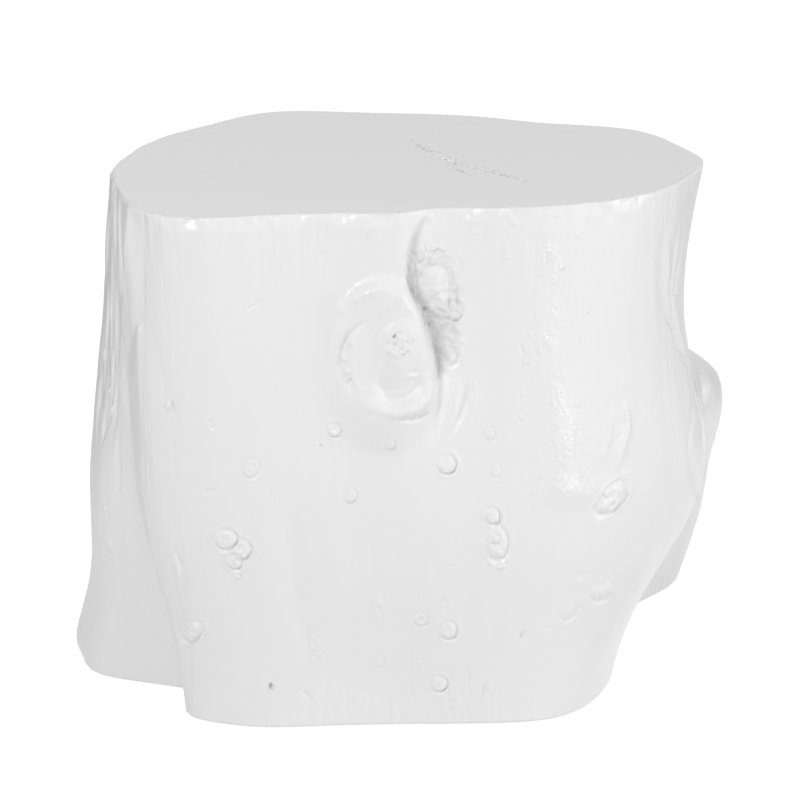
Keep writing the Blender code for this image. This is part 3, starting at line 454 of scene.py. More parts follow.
# The studio: lamps with their place, target and size, and dark cards with their distance to the right, their near
# and far ends and their height; the floor's glow is what camera and mirror rays see of it beside its dim shade
LAMPS = (
    ("key", (-1.35, -2.27, 1.68), (0, 0, 0.24), (1.0, 0.8)),
    ("side", (1.9, -2.05, 0.42), (0, 0, 0.22), (0.55, 0.75)),
    ("fill", (2.6, -0.65, 0.88), (0, 0, 0.22), (1.3, 1.3)),
    ("top", (0.0, -0.6, 2.8), (0, 0, 0.4), (2.0, 2.0)),
)
CARDS = (("card_left", -0.70, (0.12, 1.30), 0.70), ("card_right", 0.72, (0.25, 0.95), 0.44))
CARD_TONES = (0.09, 0.11)
FLOOR_HALF = 6.0
FLOOR_GLOW = 0.84
WHITE = (1.0, 1.0, 1.0, 1.0)


class StoolShape(PropertyGroup):
    """Sizes of the trunk and of what stands out from it."""

    width: FloatProperty(
        name="Width", description="Full width that the sections are drawn to", default=0.570, min=0.1, unit="LENGTH"
    )
    depth: FloatProperty(
        name="Depth", description="Full depth that the sections are drawn to", default=0.450, min=0.1, unit="LENGTH"
    )
    height: FloatProperty(
        name="Height", description="Height of the seat", default=float(SHELL_HIGH[2]), min=0.1, unit="LENGTH"
    )
    rim_lift: FloatProperty(
        name="Rim lift", description="Gap under the rim", default=float(SHELL_LOW[2]), min=0.0, unit="LENGTH"
    )
    edge_radius: FloatProperty(
        name="Edge radius", description="Rounding of the seat's edge", default=3.0 * MM, min=0.0, unit="LENGTH"
    )
    foot_radius: FloatProperty(
        name="Foot radius", description="Rounding of the foot's edge", default=1.6 * MM, min=0.0, unit="LENGTH"
    )
    wall: FloatProperty(
        name="Wall", description="Thickness of the shell's wall", default=5.0 * MM, min=0.001, unit="LENGTH"
    )
    seat_skin: FloatProperty(
        name="Seat skin",
        description="Thickness of the shell under the seat",
        default=6.0 * MM,
        min=0.001,
        unit="LENGTH",
    )
    relief: FloatProperty(
        name="Relief", description="Strength of the knot, furrows and marks", default=1.0, min=0.0, max=1.3
    )
    flutes: FloatProperty(
        name="Flutes", description="Height of the soft upright waves", default=0.55 * MM, min=0.0, unit="LENGTH"
    )
    grain: FloatProperty(
        name="Grain", description="Height of the modelled upright grain", default=0.24 * MM, min=0.0, unit="LENGTH"
    )


class StoolFinish(PropertyGroup):
    """Colours and gloss of the finishes."""

    coat: FloatVectorProperty(
        name="Gel coat",
        description="Colour of the gel coat",
        default=(0.87, 0.87, 0.87),
        subtype="COLOR",
        min=0,
        max=1,
    )
    coat_roughness: FloatProperty(
        name="Gel coat roughness",
        description="Roughness of the sanded gel coat",
        default=0.40,
        min=0,
        max=1,
        subtype="FACTOR",
    )
    stain: FloatVectorProperty(
        name="Stain",
        description="Colour in the seat's crack",
        default=(0.30, 0.21, 0.11),
        subtype="COLOR",
        min=0,
        max=1,
    )
    plywood: FloatVectorProperty(
        name="Plywood", description="Colour of the boards", default=(0.62, 0.47, 0.30), subtype="COLOR", min=0, max=1
    )
    timber: FloatVectorProperty(
        name="Timber", description="Colour of the blocks", default=(0.68, 0.52, 0.33), subtype="COLOR", min=0, max=1
    )
    zinc: FloatVectorProperty(
        name="Zinc", description="Colour of the screws", default=(0.62, 0.62, 0.60), subtype="COLOR", min=0, max=1
    )
    glide: FloatVectorProperty(
        name="Glide", description="Colour of the glides", default=(0.80, 0.80, 0.78), subtype="COLOR", min=0, max=1
    )


class StoolStage(PropertyGroup):
    """Floor, lamps and surroundings."""

    floor: FloatVectorProperty(
        name="Floor", description="Colour of the floor", default=(0.80, 0.80, 0.80), subtype="COLOR", min=0, max=1
    )
    surroundings: FloatProperty(
        name="Surroundings", description="Strength of the light from all round", default=0.35, min=0
    )
    key: FloatProperty(
        name="Key lamp", description="Power of the lamp at the left", default=32.5, min=0, unit="POWER"
    )
    side: FloatProperty(
        name="Side lamp", description="Power of the lamp at the right", default=6.6, min=0, unit="POWER"
    )
    fill: FloatProperty(name="Fill lamp", description="Power of the wide lamp", default=22, min=0, unit="POWER")
    top: FloatProperty(name="Top lamp", description="Power of the lamp overhead", default=6.8, min=0, unit="POWER")


# Shapes


def smooth_step(share):
    """0 up to share 0, 1 from share 1, and 3 s^2 - 2 s^3 between."""
    held = np.clip(share, 0, 1)
    return held * held * (3 - 2 * held)


def spline(knots, values, places, period=None):
    """Values at places, from a cubic spline through knots that is natural at its ends or closes on itself."""
    knots = np.asarray(knots, float)
    values = np.asarray(values, float)
    places = np.asarray(places, float)
    if period:
        knots = np.append(knots, knots[0] + period)
        values = np.concatenate([values, values[:1]])
        places = knots[0] + (places - knots[0]) % period
    count = len(knots)
    flat = values.reshape(count, -1)
    gap = np.diff(knots)
    rise = np.diff(flat, axis=0) / gap[:, None]
    system = np.zeros((count, count))
    bend = np.zeros(flat.shape)
    for k in range(1, count - 1):
        system[k, k - 1 : k + 2] = gap[k - 1], 2 * (gap[k - 1] + gap[k]), gap[k]
        bend[k] = 6 * (rise[k] - rise[k - 1])
    system[0, 0] = 1
    system[-1, -1] = 1
    if period:
        system[0, -1] = -1
        system[-1, [0, 1, -2, -1]] = 2 * gap[0], gap[0], gap[-1], 2 * gap[-1]
        bend[-1] = 6 * (rise[0] - rise[-1])
    bend = np.linalg.solve(system, bend)
    k = np.clip(np.searchsorted(knots, places, side="right") - 1, 0, count - 2)
    span = gap[k][:, None]
    after = (places - knots[k])[:, None] / span
    before = 1 - after
    curve = before * flat[k] + after * flat[k + 1]
    curve += ((before**3 - before) * bend[k] + (after**3 - after) * bend[k + 1]) * span**2 / 6
    return curve.reshape((len(places),) + values.shape[1:])


def noise(points, cell, seed):
    """Even noise from -1 to 1: a scrambled value at each corner of a lattice of cells, blended by smooth steps."""
    places = points / np.asarray(cell, float)
    corner = np.floor(places).astype(np.int64)
    share = places - corner
    share = share * share * (3 - 2 * share)
    total = np.zeros(points.shape[:-1])
    for step in np.ndindex(2, 2, 2):
        at = (corner + step).astype(np.uint32)
        scrambled = at[..., 0] * 73856093 ^ at[..., 1] * 19349663 ^ at[..., 2] * 83492791 ^ np.uint32(seed * 2654435)
        scrambled = (scrambled ^ scrambled >> 13) * np.uint32(1274126177)
        scrambled = (scrambled ^ scrambled >> 16) & 0xFFFFFF
        weight = np.prod(np.where(step, share, 1 - share), axis=-1)
        total += weight * (scrambled / 8388607.5 - 1)
    return total


def layered(points, layers):
    """Noises of several cells, each times its weight, added up."""
    return sum(weight * noise(points, cell, seed) for weight, cell, seed in layers)


def camera_place():
    """The place of the photograph's camera, measured from the middle that the sections are drawn round."""
    return np.array([0.0, -CAMERA_BACK, CAMERA_HEIGHT])


def seen_at(points):
    """Picture points (across, down) of points, for the photograph's camera: a pinhole pitched down."""
    ahead = np.array([0.0, math.cos(CAMERA_PITCH), -math.sin(CAMERA_PITCH)])
    up = np.array([0.0, math.sin(CAMERA_PITCH), math.cos(CAMERA_PITCH)])
    away = points - camera_place()
    far = away @ ahead
    across = PICTURE_SIDE / 2 + FOCAL_LENGTH_PX * away[..., 0] / far
    down = PICTURE_SIDE / 2 - FOCAL_LENGTH_PX * (away @ up) / far
    return across, down


def on_seat(picture_points, height):
    """Where the rays through picture points meet the seat's level."""
    places = np.asarray(picture_points, float)
    right = (places[:, 0] - PICTURE_SIDE / 2) / FOCAL_LENGTH_PX
    high = (PICTURE_SIDE / 2 - places[:, 1]) / FOCAL_LENGTH_PX
    along = math.cos(CAMERA_PITCH) + high * math.sin(CAMERA_PITCH)
    rise = high * math.cos(CAMERA_PITCH) - math.sin(CAMERA_PITCH)
    reach = (height - CAMERA_HEIGHT) / rise
    return np.stack([right * reach, along * reach - CAMERA_BACK], -1)


def outward(plan):
    """Level unit vectors that point out of each row of a plan grid, whose columns run all the way round."""
    along = np.roll(plan, -1, axis=1) - np.roll(plan, 1, axis=1)
    normal = np.dstack([along[..., 1], -along[..., 0]])
    return normal / np.linalg.norm(normal, axis=2, keepdims=True)


def burl_relief(bearings, heights, height):
    """How far the burl stands out: steep at its top, with a long fade below, and round in plan."""
    away = (bearings - BURL_BEARING_SHARE + 0.5) % 1 - 0.5
    across = np.exp(-((away / BURL_SPREAD_SHARE) ** 2))
    drop = BURL_TOP_SHARE * height - heights
    up = smooth_step(drop / BURL_RISE) * (1 - smooth_step((drop - BURL_RISE) / BURL_FALL))
    return BURL_REACH * up[:, None] * across


def section_outlines(shape, bearings):
    """Each section's outline in plan: a closed spline through its stations, in metres."""
    half_box = (shape.width / 2, shape.depth / 2)
    stations = np.arange(STATIONS) / STATIONS
    return [spline(stations, np.array(shares) * half_box, bearings, 1) for shares in TRUNK_SHARES]


def plain_wall(shape, bearings, heights):
    """The trunk's outer wall before its relief: splines up the height through the sections' outlines."""
    outlines = np.array(section_outlines(shape, bearings))
    plan = spline(np.array(SECTION_HEIGHT_SHARES) * shape.height, outlines, heights)
    plan += burl_relief(bearings, heights, shape.height)[..., None] * outward(plan)
    return np.dstack([plan, np.broadcast_to(heights[:, None], plan.shape[:2])])


def oval(across, down, middle, half):
    """Distance from an oval's middle as a share of the way to its edge."""
    return np.hypot((across - middle[0]) / half[0], (down - middle[1]) / half[1])


def knot_swell(across, down):
    """The knot's swelling: full inside its ring, fading outside it, and lower towards the left."""
    fade = 0.30 + 0.25 * smooth_step((down - 340) / 60)
    swell = KNOT_SWELL * smooth_step((0.80 + fade - oval(across, down, KNOT_PX, KNOT_HALF_PX)) / fade)
    return swell * (0.66 + 0.34 * smooth_step((across - 345) / 60))


def knot_relief(across, down):
    """The knot: its swelling, less a bowl that is deepest low down, plus a button in the bowl."""
    low = smooth_step((down - 352) / 40) * smooth_step((across - 366) / 26)
    bowl = BOWL_DEPTH * smooth_step((1.05 - oval(across, down, BOWL_PX, BOWL_HALF_PX)) / (0.8 - 0.58 * low))
    bowl *= 0.50 + 0.62 * smooth_step((down - 362) / 40)
    button = BUTTON_RISE * smooth_step((1.15 - oval(across, down, BUTTON_PX, BUTTON_HALF_PX)) / 0.7)
    return knot_swell(across, down) - bowl + button


def growth_rings(across, down):
    """Faint rings in the bowl: noise that runs round the button, 3 pixels from ring to ring."""
    away = np.hypot(across - BUTTON_PX[0], down - BUTTON_PX[1])
    turn = np.arctan2(down - BUTTON_PX[1], across - BUTTON_PX[0])
    rings = noise(np.stack([away / 3, 3 * np.cos(turn), 3 * np.sin(turn)], -1), 1.0, 61)
    inside_bowl = smooth_step((1.1 - oval(across, down, BOWL_PX, BOWL_HALF_PX)) / 0.3)
    return RING_HEIGHT * inside_bowl * rings


def crevice_relief(across, down):
    """The crevice: a cliff inside its left edge, a gully, and a shallow dish from there to its right edge."""
    lines = np.array(CREVICE)
    held = np.clip(down, lines[0, 0], lines[-1, 0])
    left, gully, right = (np.interp(held, lines[:, 0], lines[:, k]) for k in (1, 2, 3))
    depth = np.interp(down, lines[:, 0], lines[:, 4], left=0, right=0) * MM
    cliff = smooth_step((across - left + 1.0) / (2.0 + 0.42 * (gully - left) + 5 * smooth_step((down - 356) / 50)))
    share = (across - left) / (gully - left)
    gully_share = 0.78 * (1 - smooth_step((share - 0.45) / 0.85))
    dish_share = 0.40 * (1 - smooth_step((across - left) / (right - left)))
    return -depth * cliff * (gully_share + dish_share)


def nearest_on_run(places, spots, widths, heights):
    """Distance from a run of spots, as a share of the run's width there, and the run's height there."""
    best = np.full(places.shape[:-1], np.inf)
    height = np.zeros(best.shape)
    for k, way in enumerate(np.diff(spots, axis=0)):
        share = np.clip((places - spots[k]) @ way / (way @ way), 0, 1)
        away = np.linalg.norm(places - spots[k] - share[..., None] * way, axis=-1)
        away /= widths[k] + share * (widths[k + 1] - widths[k])
        closer = away < best
        best = np.where(closer, away, best)
        height = np.where(closer, heights[k] + share * (heights[k + 1] - heights[k]), height)
    return best, height


def stroke_relief(across, down, run):
    """A ridge or furrow along a run of points, with a bell-shaped section of a changing width and height."""
    run = np.array(run, float)
    reach = 3 * run[:, 2].max()
    low = run[:, :2].min(axis=0) - reach
    high = run[:, :2].max(axis=0) + reach
    near = (across > low[0]) & (across < high[0]) & (down > low[1]) & (down < high[1])
    away, height = nearest_on_run(np.stack([across[near], down[near]], -1), run[:, :2], run[:, 2], run[:, 3])
    relief = np.zeros(across.shape)
    relief[near] = MM * height * np.exp(-(away**2))
    return relief


def mark_profile(away, sheltered, rough, kind):
    """Height of a round mark by distance from its middle: lump, pit, bead in a moat, or bead with a ring cut in it.

    A bead is rough on top. It stands out most, and its moat is deepest, where sheltered is 1.
    """
    if kind == "lump":
        return smooth_step((1.15 - away) / 1.15)
    if kind == "pit":
        return smooth_step((1.15 - away) / 0.75)
    bead = smooth_step((1.1 - away) / 0.36) * (0.26 + 0.44 * sheltered + 0.22 * rough)
    bead -= 0.7 * (0.2 + 0.8 * sheltered) * np.exp(-(((away - 1.08) / 0.17) ** 2))
    bead += 0.16 * np.exp(-(((away - 1.4) / 0.18) ** 2))
    if kind == "ring":
        bead -= 0.3 * (0.4 + 0.6 * sheltered) * np.exp(-(((away - 0.5) / 0.16) ** 2))
    return bead


def mark_relief(across, down, mark):
    """A round mark, on the picture's own axes turned by the mark's turn."""
    middle_x, middle_y, half_x, half_y, turn, height, kind = mark
    reach = 1.7 * max(half_x, half_y)
    near = (abs(across - middle_x) < reach) & (abs(down - middle_y) < reach)
    right = across[near] - middle_x
    low = down[near] - middle_y
    turn = math.radians(turn)
    along = right * math.cos(turn) + low * math.sin(turn)
    aside = low * math.cos(turn) - right * math.sin(turn)
    away = np.hypot(along / half_x, aside / half_y)
    spot = np.stack([right, low, np.full(right.shape, middle_x + 7.0 * middle_y)], -1)
    away = away * (1 + 0.16 * noise(spot, 0.9 * min(half_x, half_y) + 0.6, 71))
    sheltered = 0.5 + 0.5 * (0.6 * right + 0.8 * low) / np.maximum(np.hypot(right, low), 0.1)
    rough = noise(spot, 2.4, 73)
    relief = np.zeros(across.shape)
    relief[near] = MM * height * mark_profile(away, sheltered, rough, kind)
    return relief


def hidden_mark_relief(points, shape, mark):
    """A round mark placed by bearing and height, measured over the surface round its own place."""
    bearing, height_share, half_width, half_height, height, kind = mark
    beside = bearing + np.array([-0.002, 0, 0.002])
    spot = plain_wall(shape, beside, np.array([height_share * shape.height]))
    middle = spot[0, 1]
    along = spot[0, 2] - spot[0, 0]
    along /= np.linalg.norm(along)
    away = points - middle
    near = np.linalg.norm(away, axis=-1) < 2.2 * MM * max(half_width, half_height)
    relief = np.zeros(points.shape[:-1])
    aside = away[near] @ along
    rise = away[near][:, 2]
    apart = np.hypot(aside / half_width, rise / half_height) / MM
    apart = apart * (1 + 0.16 * noise(away[near], 0.9 * MM * min(half_width, half_height), 72))
    sheltered = 0.5 - 0.5 * rise / np.maximum(np.hypot(aside, rise), 0.1 * MM)
    rough = noise(away[near], 1.9 * MM, 74)
    relief[near] = MM * height * mark_profile(apart, sheltered, rough, kind)
    return relief


def picture_relief(across, down):
    """All the relief that is placed by picture points."""
    relief = knot_relief(across, down) + crevice_relief(across, down) + growth_rings(across, down)
    for run in STROKES:
        relief += stroke_relief(across, down, run)
    for mark in MARKS:
        relief += mark_relief(across, down, mark)
    for swell in SWELLS:
        relief += mark_relief(across, down, (*swell, "lump"))
    return relief


def pebbling(across, down):
    """How pebbled the coat is, from 0 to 1, by picture point."""
    amount = np.zeros(across.shape)
    for middle_x, middle_y, half_x, half_y, strength in PEBBLED:
        away = oval(across, down, (middle_x, middle_y), (half_x, half_y))
        amount = np.maximum(amount, strength * smooth_step((1.5 - away) / 1.2))
    return amount


def row_levels(shape):
    """Each row's height and inset: a rounded foot, the wall, and a quarter turn at the seat's edge."""
    foot_turn = np.linspace(0, math.pi / 2, FOOT_ROWS + 1)[:-1]
    foot = shape.rim_lift + shape.foot_radius * (1 - np.cos(foot_turn))
    start = shape.rim_lift + shape.foot_radius
    end = shape.height - shape.edge_radius
    count = LINING_STEP * round((end - start) / ROW_HEIGHT / LINING_STEP) - FOOT_ROWS
    count += (-(count + FOOT_ROWS + EDGE_ROWS)) % LINING_STEP
    side = np.linspace(start, end, count + 1)
    turn = np.linspace(0, math.pi / 2, EDGE_ROWS + 1)[1:]
    edge = end + shape.edge_radius * np.sin(turn)
    inset = np.concatenate(
        [shape.foot_radius * (1 - np.sin(foot_turn)), side * 0, shape.edge_radius * (1 - np.cos(turn))]
    )
    return np.concatenate([foot, side, edge]), inset


def panel_columns(shape):
    """Bearings of every panel's columns, even along the wall: the last of one panel is the first of the next."""
    fine = np.linspace(0, 2, 2 * OUTLINE_SAMPLES + 1)
    speeds = []
    for outline in section_outlines(shape, fine):
        speeds.append(np.linalg.norm(np.gradient(outline, axis=0), axis=1))
    length = np.concatenate([[0], np.cumsum(np.mean(speeds, axis=0))[:-1]])
    columns = []
    for _, start, end, cell in PANELS:
        begin, finish = np.interp((start, end), fine, length)
        count = LINING_STEP * round((finish - begin) / cell / LINING_STEP)
        columns.append(np.interp(np.linspace(begin, finish, count + 1), length, fine))
    return columns


def pushed(points, out, amount):
    """Points moved level outwards by an amount."""
    moved = points.copy()
    moved[..., :2] += out * amount[..., None]
    return moved


def facing_camera(points, out):
    """The cosine of the angle between the wall's outward direction and the way to the photograph's camera."""
    to_camera = camera_place() - points
    return np.sum(out * to_camera[..., :2], axis=2) / np.linalg.norm(to_camera, axis=2)


def skin(shape, bearings, heights, inset):
    """The skin's points, level outward directions, relief, and the fields that its material reads."""
    plain = plain_wall(shape, bearings, heights)
    out = outward(plain[..., :2])
    plain = pushed(plain, out, -inset[:, None])
    facing = facing_camera(plain, out)
    shown = smooth_step(facing / 0.10)
    across, down = seen_at(pushed(plain, out, shown * knot_swell(*seen_at(plain))))
    relief = shape.relief * shown * picture_relief(across, down)
    for mark in HIDDEN_MARKS:
        relief += shape.relief * (1 - shown) * hidden_mark_relief(plain, shape, mark)
    fluted = flute_amount(across, down, heights / shape.height, facing, shown)
    relief += shape.flutes * fluted * layered(plain, FLUTES)
    relief += shape.relief * shown * left_lean(across, down)
    folds = left_folds(across, down, facing)
    relief += folds * MM * layered(plain, FOLDS)
    grain = grain_amount(plain, across, down, shown, shape) + 0.6 * folds
    relief += shape.grain * grain * layered(plain, GRAIN)
    broken = layered(plain, BREAKS)
    pebbled = shown * np.clip(pebbling(across, down) * (1 + broken), 0, 1)
    relief += pebbled * PEBBLE_HEIGHT * layered(plain, PEBBLES)
    bark = shown * bark_amount(across, down)
    relief += bark * MM * bark_height(plain)
    edge = smooth_step(inset / shape.edge_radius * 2)[:, None] * (heights > shape.height / 2)[:, None]
    under_edge = smooth_step((heights - shape.height + 0.030) / 0.016)[:, None] * (1 - edge)
    relief += under_edge * UNDER_EDGE_HEIGHT * layered(plain, UNDER_EDGE)
    worn = shown * shoulder_amount(across, heights - shape.height, plain)
    relief -= worn * (SHOULDER_DEPTH + SHOULDER_ROUGHNESS * layered(plain, SHOULDER_GRIT))
    relief *= 1 - 0.6 * edge
    gloss = gloss_amount(plain, np.maximum(smooth_step((pebbled - 0.35) / 0.45), worn), broken, shown) * (1 - edge)
    fields = {"pebble": pebbled, "grain": grain, "gloss": gloss, "bark": bark}
    return pushed(plain, out, relief), out, relief, fields


def flute_amount(across, down, height_shares, facing, shown):
    """How strong the soft upright waves are: none round the knot, faint at the foot, and strongest where hidden."""
    calm = smooth_step((oval(across, down, *KNOT_CALM) - 0.7) / 0.5) * shown + 1 - shown
    hidden = 1 - smooth_step((facing - 0.05) / 0.4)
    footed = 1 - 0.9 * smooth_step((0.22 - height_shares) / 0.12)[:, None]
    return calm * (1 + 2.6 * hidden) * footed


def shoulder_amount(across, below_seat, points):
    """How far the seat's edge is rubbed down, from 0: at the shoulders, growing up to the edge, and uneven."""
    worn = np.zeros(across.shape)
    for middle, half, strength in SHOULDERS:
        worn = np.maximum(worn, strength * smooth_step(1.5 - np.abs(across - middle) / half))
    slope = smooth_step((below_seat + SHOULDER_HEIGHT) / (1.15 * SHOULDER_HEIGHT))[:, None]
    return worn * (0.85 + 0.8 * layered(points, SHOULDER_WEAR)) * slope


def left_lean(across, down):
    """How far the left lobe leans out over the folded strip, in metres: it climbs to a sharp back edge."""
    edge = np.interp(down, *LOBE_EDGE)
    lean = np.clip((LOBE_FRONT - across) / (LOBE_FRONT - edge), 0, 1) * smooth_step((across - edge + 6) / 6)
    return lean * MM * np.interp(down, *LOBE_LEAN)


def left_folds(across, down, facing):
    """How folded the bark is, from 0 to 1: on the strip that closes the left side, and round behind it."""
    upper = 1 - 0.85 * smooth_step((down - 410) / 110)
    strip = smooth_step((np.interp(down, *FOLDS_END) + 1 - across) / 5)
    return upper * strip * (across < 300) * smooth_step((facing + 0.8) / 0.4)


def bark_amount(across, down):
    """How broken the bark is, from 0 to 1: in the crevice, less on its big lump, and on the knot's button."""
    gully = smooth_step((1.2 - oval(across, down, *GULLY_BARK)) / 0.35)
    gully *= 1 - 0.5 * smooth_step((1.1 - oval(across, down, *LUMP_BARK)) / 0.4)
    lines = np.array(CREVICE)
    gully *= smooth_step((across - np.interp(down, lines[:, 0], lines[:, 1])) / 4)
    button = 0.45 * smooth_step((1.1 - oval(across, down, *BUTTON_BARK)) / 0.5)
    return np.maximum(gully, button)


def bark_height(points):
    """Broken bark, in millimetres: crumbs in two sizes, cut by creases where a third noise is near 0."""
    creases = np.exp(-((layered(points, BARK_CREASES) / 0.17) ** 2))
    return layered(points, BARK) + 0.3 - 1.7 * creases


def gloss_amount(points, glassy, broken, shown):
    """How glossy the coat is, from 0 to 1: where it is glassy, and in soft, broken patches on the hidden sides."""
    patches = smooth_step((layered(points, GLOSS_PATCHES) - 0.1) / 0.5) * (1 - shown)
    return np.clip(np.maximum(glassy, patches * (0.35 + 0.35 * broken)), 0, 1)


def grain_amount(points, across, down, shown, shape):
    """How strong the upright grain is: strongest at the foot, under the seat's edge and on the left lobe."""
    share = points[..., 2] / shape.height
    foot = smooth_step((0.13 - share) / 0.10)
    head = smooth_step((share - 0.80) / 0.14)
    left = shown * smooth_step((200 - across) / 40)
    patchy = 0.5 + 0.5 * layered(points, GRAIN_PATCHES)
    band = shown * smooth_step((1.3 - oval(across, down, *GRAIN_PATCH)) / 0.6)
    right = shown * smooth_step((across - 640) / 30)
    return np.clip(0.25 + 0.75 * foot + 0.55 * head * patchy + 0.9 * left + 0.8 * band + 0.4 * right, 0, 1.4)


def grid_normals(points):
    """Unit normals of a grid whose columns go all the way round, from the differences along and up it."""
    along = np.roll(points, -1, axis=1) - np.roll(points, 1, axis=1)
    up = np.gradient(points, axis=0)
    normal = np.cross(along, up)
    return normal / np.linalg.norm(normal, axis=2, keepdims=True)


def box_shift(points):
    """The level move that puts the skin's plain box over the solid shell's."""
    middle = (points.reshape(-1, 3).min(axis=0) + points.reshape(-1, 3).max(axis=0)) / 2
    move = (SHELL_LOW + SHELL_HIGH) / 2 - middle
    move[2] = 0
    return move


def grid_quads(grid):
    """The quads between a grid of point numbers, counter-clockwise for columns that run right and rows that rise."""
    return np.stack([grid[:-1, :-1], grid[:-1, 1:], grid[1:, 1:], grid[1:, :-1]], -1).reshape(-1, 4)


def grid_border(grid):
    """A grid's border, once round: along the first row, up the last column, and back."""
    return np.concatenate([grid[0, :-1], grid[:-1, -1], grid[-1, :0:-1], grid[:0:-1, 0]])


def closed_panel(outer, lining):
    """Points and faces of a panel: its outer grid, its coarse lining, and a fan of triangles between their edges."""
    front, back = (np.arange(grid[..., 0].size).reshape(grid.shape[:2]) for grid in (outer, lining))
    back = back + front.size
    quads = np.concatenate([grid_quads(front), grid_quads(back)[:, [0, 3, 2, 1]]])
    fine, coarse = grid_border(front), grid_border(back)
    step = np.arange(len(fine))
    nearest = coarse[((step + LINING_STEP // 2) // LINING_STEP) % len(coarse)]
    fans = np.stack([np.roll(fine, -1), fine, nearest], -1)
    middle = fine[LINING_STEP // 2 :: LINING_STEP]
    fans = np.concatenate([fans, np.stack([middle, coarse, np.roll(coarse, -1)], -1)])
    points = np.concatenate([outer.reshape(-1, 3), lining.reshape(-1, 3)])
    return points, quads, fans


def add_object(name, data):
    """A new object in the scene."""
    thing = bpy.data.objects.new(name, data)
    bpy.context.scene.collection.objects.link(thing)
    return thing


def make_mesh(name, points, quads, triangles, fields, normals, smooth_quads):
    """A mesh object from arrays, with point fields, and the given normals on its first smooth_quads quads."""
    mesh = bpy.data.meshes.new(name)
    corners = np.concatenate([quads.ravel(), triangles.ravel()]).astype(np.int32)
    starts = np.concatenate([4 * np.arange(len(quads)), 4 * len(quads) + 3 * np.arange(len(triangles))])
    mesh.vertices.add(len(points))
    mesh.vertices.foreach_set("co", points.astype(np.float32).ravel())
    mesh.loops.add(len(corners))
    mesh.loops.foreach_set("vertex_index", corners)
    mesh.polygons.add(len(starts))
    mesh.polygons.foreach_set("loop_start", starts.astype(np.int32))
    mesh.update(calc_edges=True)
    mesh.polygons.foreach_set("use_smooth", np.ones(len(starts), bool))
    for field, values in fields.items():
        mesh.attributes.new(field, "FLOAT", "POINT").data.foreach_set("value", values.astype(np.float32).ravel())
    flat = np.empty(3 * len(starts), np.float32)
    mesh.polygons.foreach_get("normal", flat)
    sides = np.concatenate([np.full(len(quads), 4), np.full(len(triangles), 3)])
    corner_normals = np.repeat(flat.reshape(-1, 3), sides, axis=0)
    corner_normals[: 4 * smooth_quads] = normals[corners[: 4 * smooth_quads]]
    mesh.normals_split_custom_set(corner_normals.tolist())
    return add_object(name, mesh)


# Materials


class Value:
    """A node's output in arithmetic: each operation on it adds the Math node for it."""

    def __init__(self, sheet, socket):
        self.sheet = sheet
        self.socket = socket

    def __add__(self, other):
        return self.sheet.maths("ADD", self, other)

    def __sub__(self, other):
        return self.sheet.maths("SUBTRACT", self, other)

    def __mul__(self, other):
        return self.sheet.maths("MULTIPLY", self, other)

    def __rsub__(self, other):
        return self.sheet.maths("SUBTRACT", other, self)

    __radd__ = __add__
    __rmul__ = __mul__


class Sheet:
    """A material, or the world, and what draws its nodes."""

    def __init__(self, owner, shader="Principled BSDF"):
        self.owner = owner
        owner.use_nodes = True
        self.nodes = owner.node_tree.nodes
        self.links = owner.node_tree.links
        self.shader = self.nodes[shader]

    def add(self, kind, settings, inputs, output=0):
        """Adds a node: its settings first, then its inputs, each a link or a value."""
        node = self.nodes.new(kind)
        for name, setting in settings.items():
            setattr(node, name, setting)
        for key, value in inputs.items():
            self.feed(node.inputs[key], value)
        return Value(self, node.outputs[output])

    def feed(self, socket, value):
        """Links a node's output to a socket, or sets the socket's own value."""
        if isinstance(value, Value):
            self.links.new(value.socket, socket)
        else:
            socket.default_value = value

    def maths(self, operation, first, second):
        """A Math node's result."""
        return self.add("ShaderNodeMath", {"operation": operation}, {0: first, 1: second})

    def field(self, name):
        """A number that the mesh holds for each of its points."""
        return self.add("ShaderNodeAttribute", {"attribute_name": name}, {}, "Fac")

    def noise(self, scales, detail=2.0, distortion=0.0):
        """Noise in object coordinates, whose cells are 1 / scale metres long on each axis."""
        place = self.add("ShaderNodeTexCoord", {}, {}, "Object")
        stretched = self.add("ShaderNodeVectorMath", {"operation": "MULTIPLY"}, {0: place, 1: scales})
        inputs = {"Vector": stretched, "Scale": 1.0, "Detail": detail, "Distortion": distortion}
        return self.add("ShaderNodeTexNoise", {}, inputs, "Fac")

    def range(self, value, low, high):
        """0 up to low, 1 from high, and a smooth step between."""
        inputs = {"Value": value, "From Min": low, "From Max": high, "To Min": 0.0, "To Max": 1.0}
        return self.add("ShaderNodeMapRange", {"interpolation_type": "SMOOTHSTEP"}, inputs)

    def mix(self, share, first, second):
        """A blend of two colours."""
        return self.add("ShaderNodeMix", {"data_type": "RGBA"}, {0: share, 6: first, 7: second}, 2)

    def bump(self, height, distance):
        """A normal bent by a height from 0 to 1, which stands for 0 to distance metres."""
        return self.add("ShaderNodeBump", {}, {"Height": height, "Distance": distance, "Strength": 1.0})

    def finish(self, **inputs):
        """Feeds the shader: each name is its input's, with spaces as underscores."""
        for name, value in inputs.items():
            self.feed(self.shader.inputs[name.replace("_", " ")], value)
        return self.owner

    def split_by_ray(self, unseen, seen, output):
        """Shows camera, mirror and glass rays the shader seen, and every other ray the shader unseen."""
        self.nodes.remove(self.shader)
        path = self.nodes.new("ShaderNodeLightPath")
        share = Value(self, path.outputs["Is Camera Ray"])
        for name in ("Is Glossy Ray", "Is Transmission Ray"):
            share = self.maths("MAXIMUM", share, Value(self, path.outputs[name]))
        both = self.add("ShaderNodeMixShader", {}, {0: share, 1: unseen, 2: seen})
        self.links.new(both.socket, self.nodes[output].inputs["Surface"])


def new_sheet(name):
    """The sheet of a new material."""
    return Sheet(bpy.data.materials.new(name))


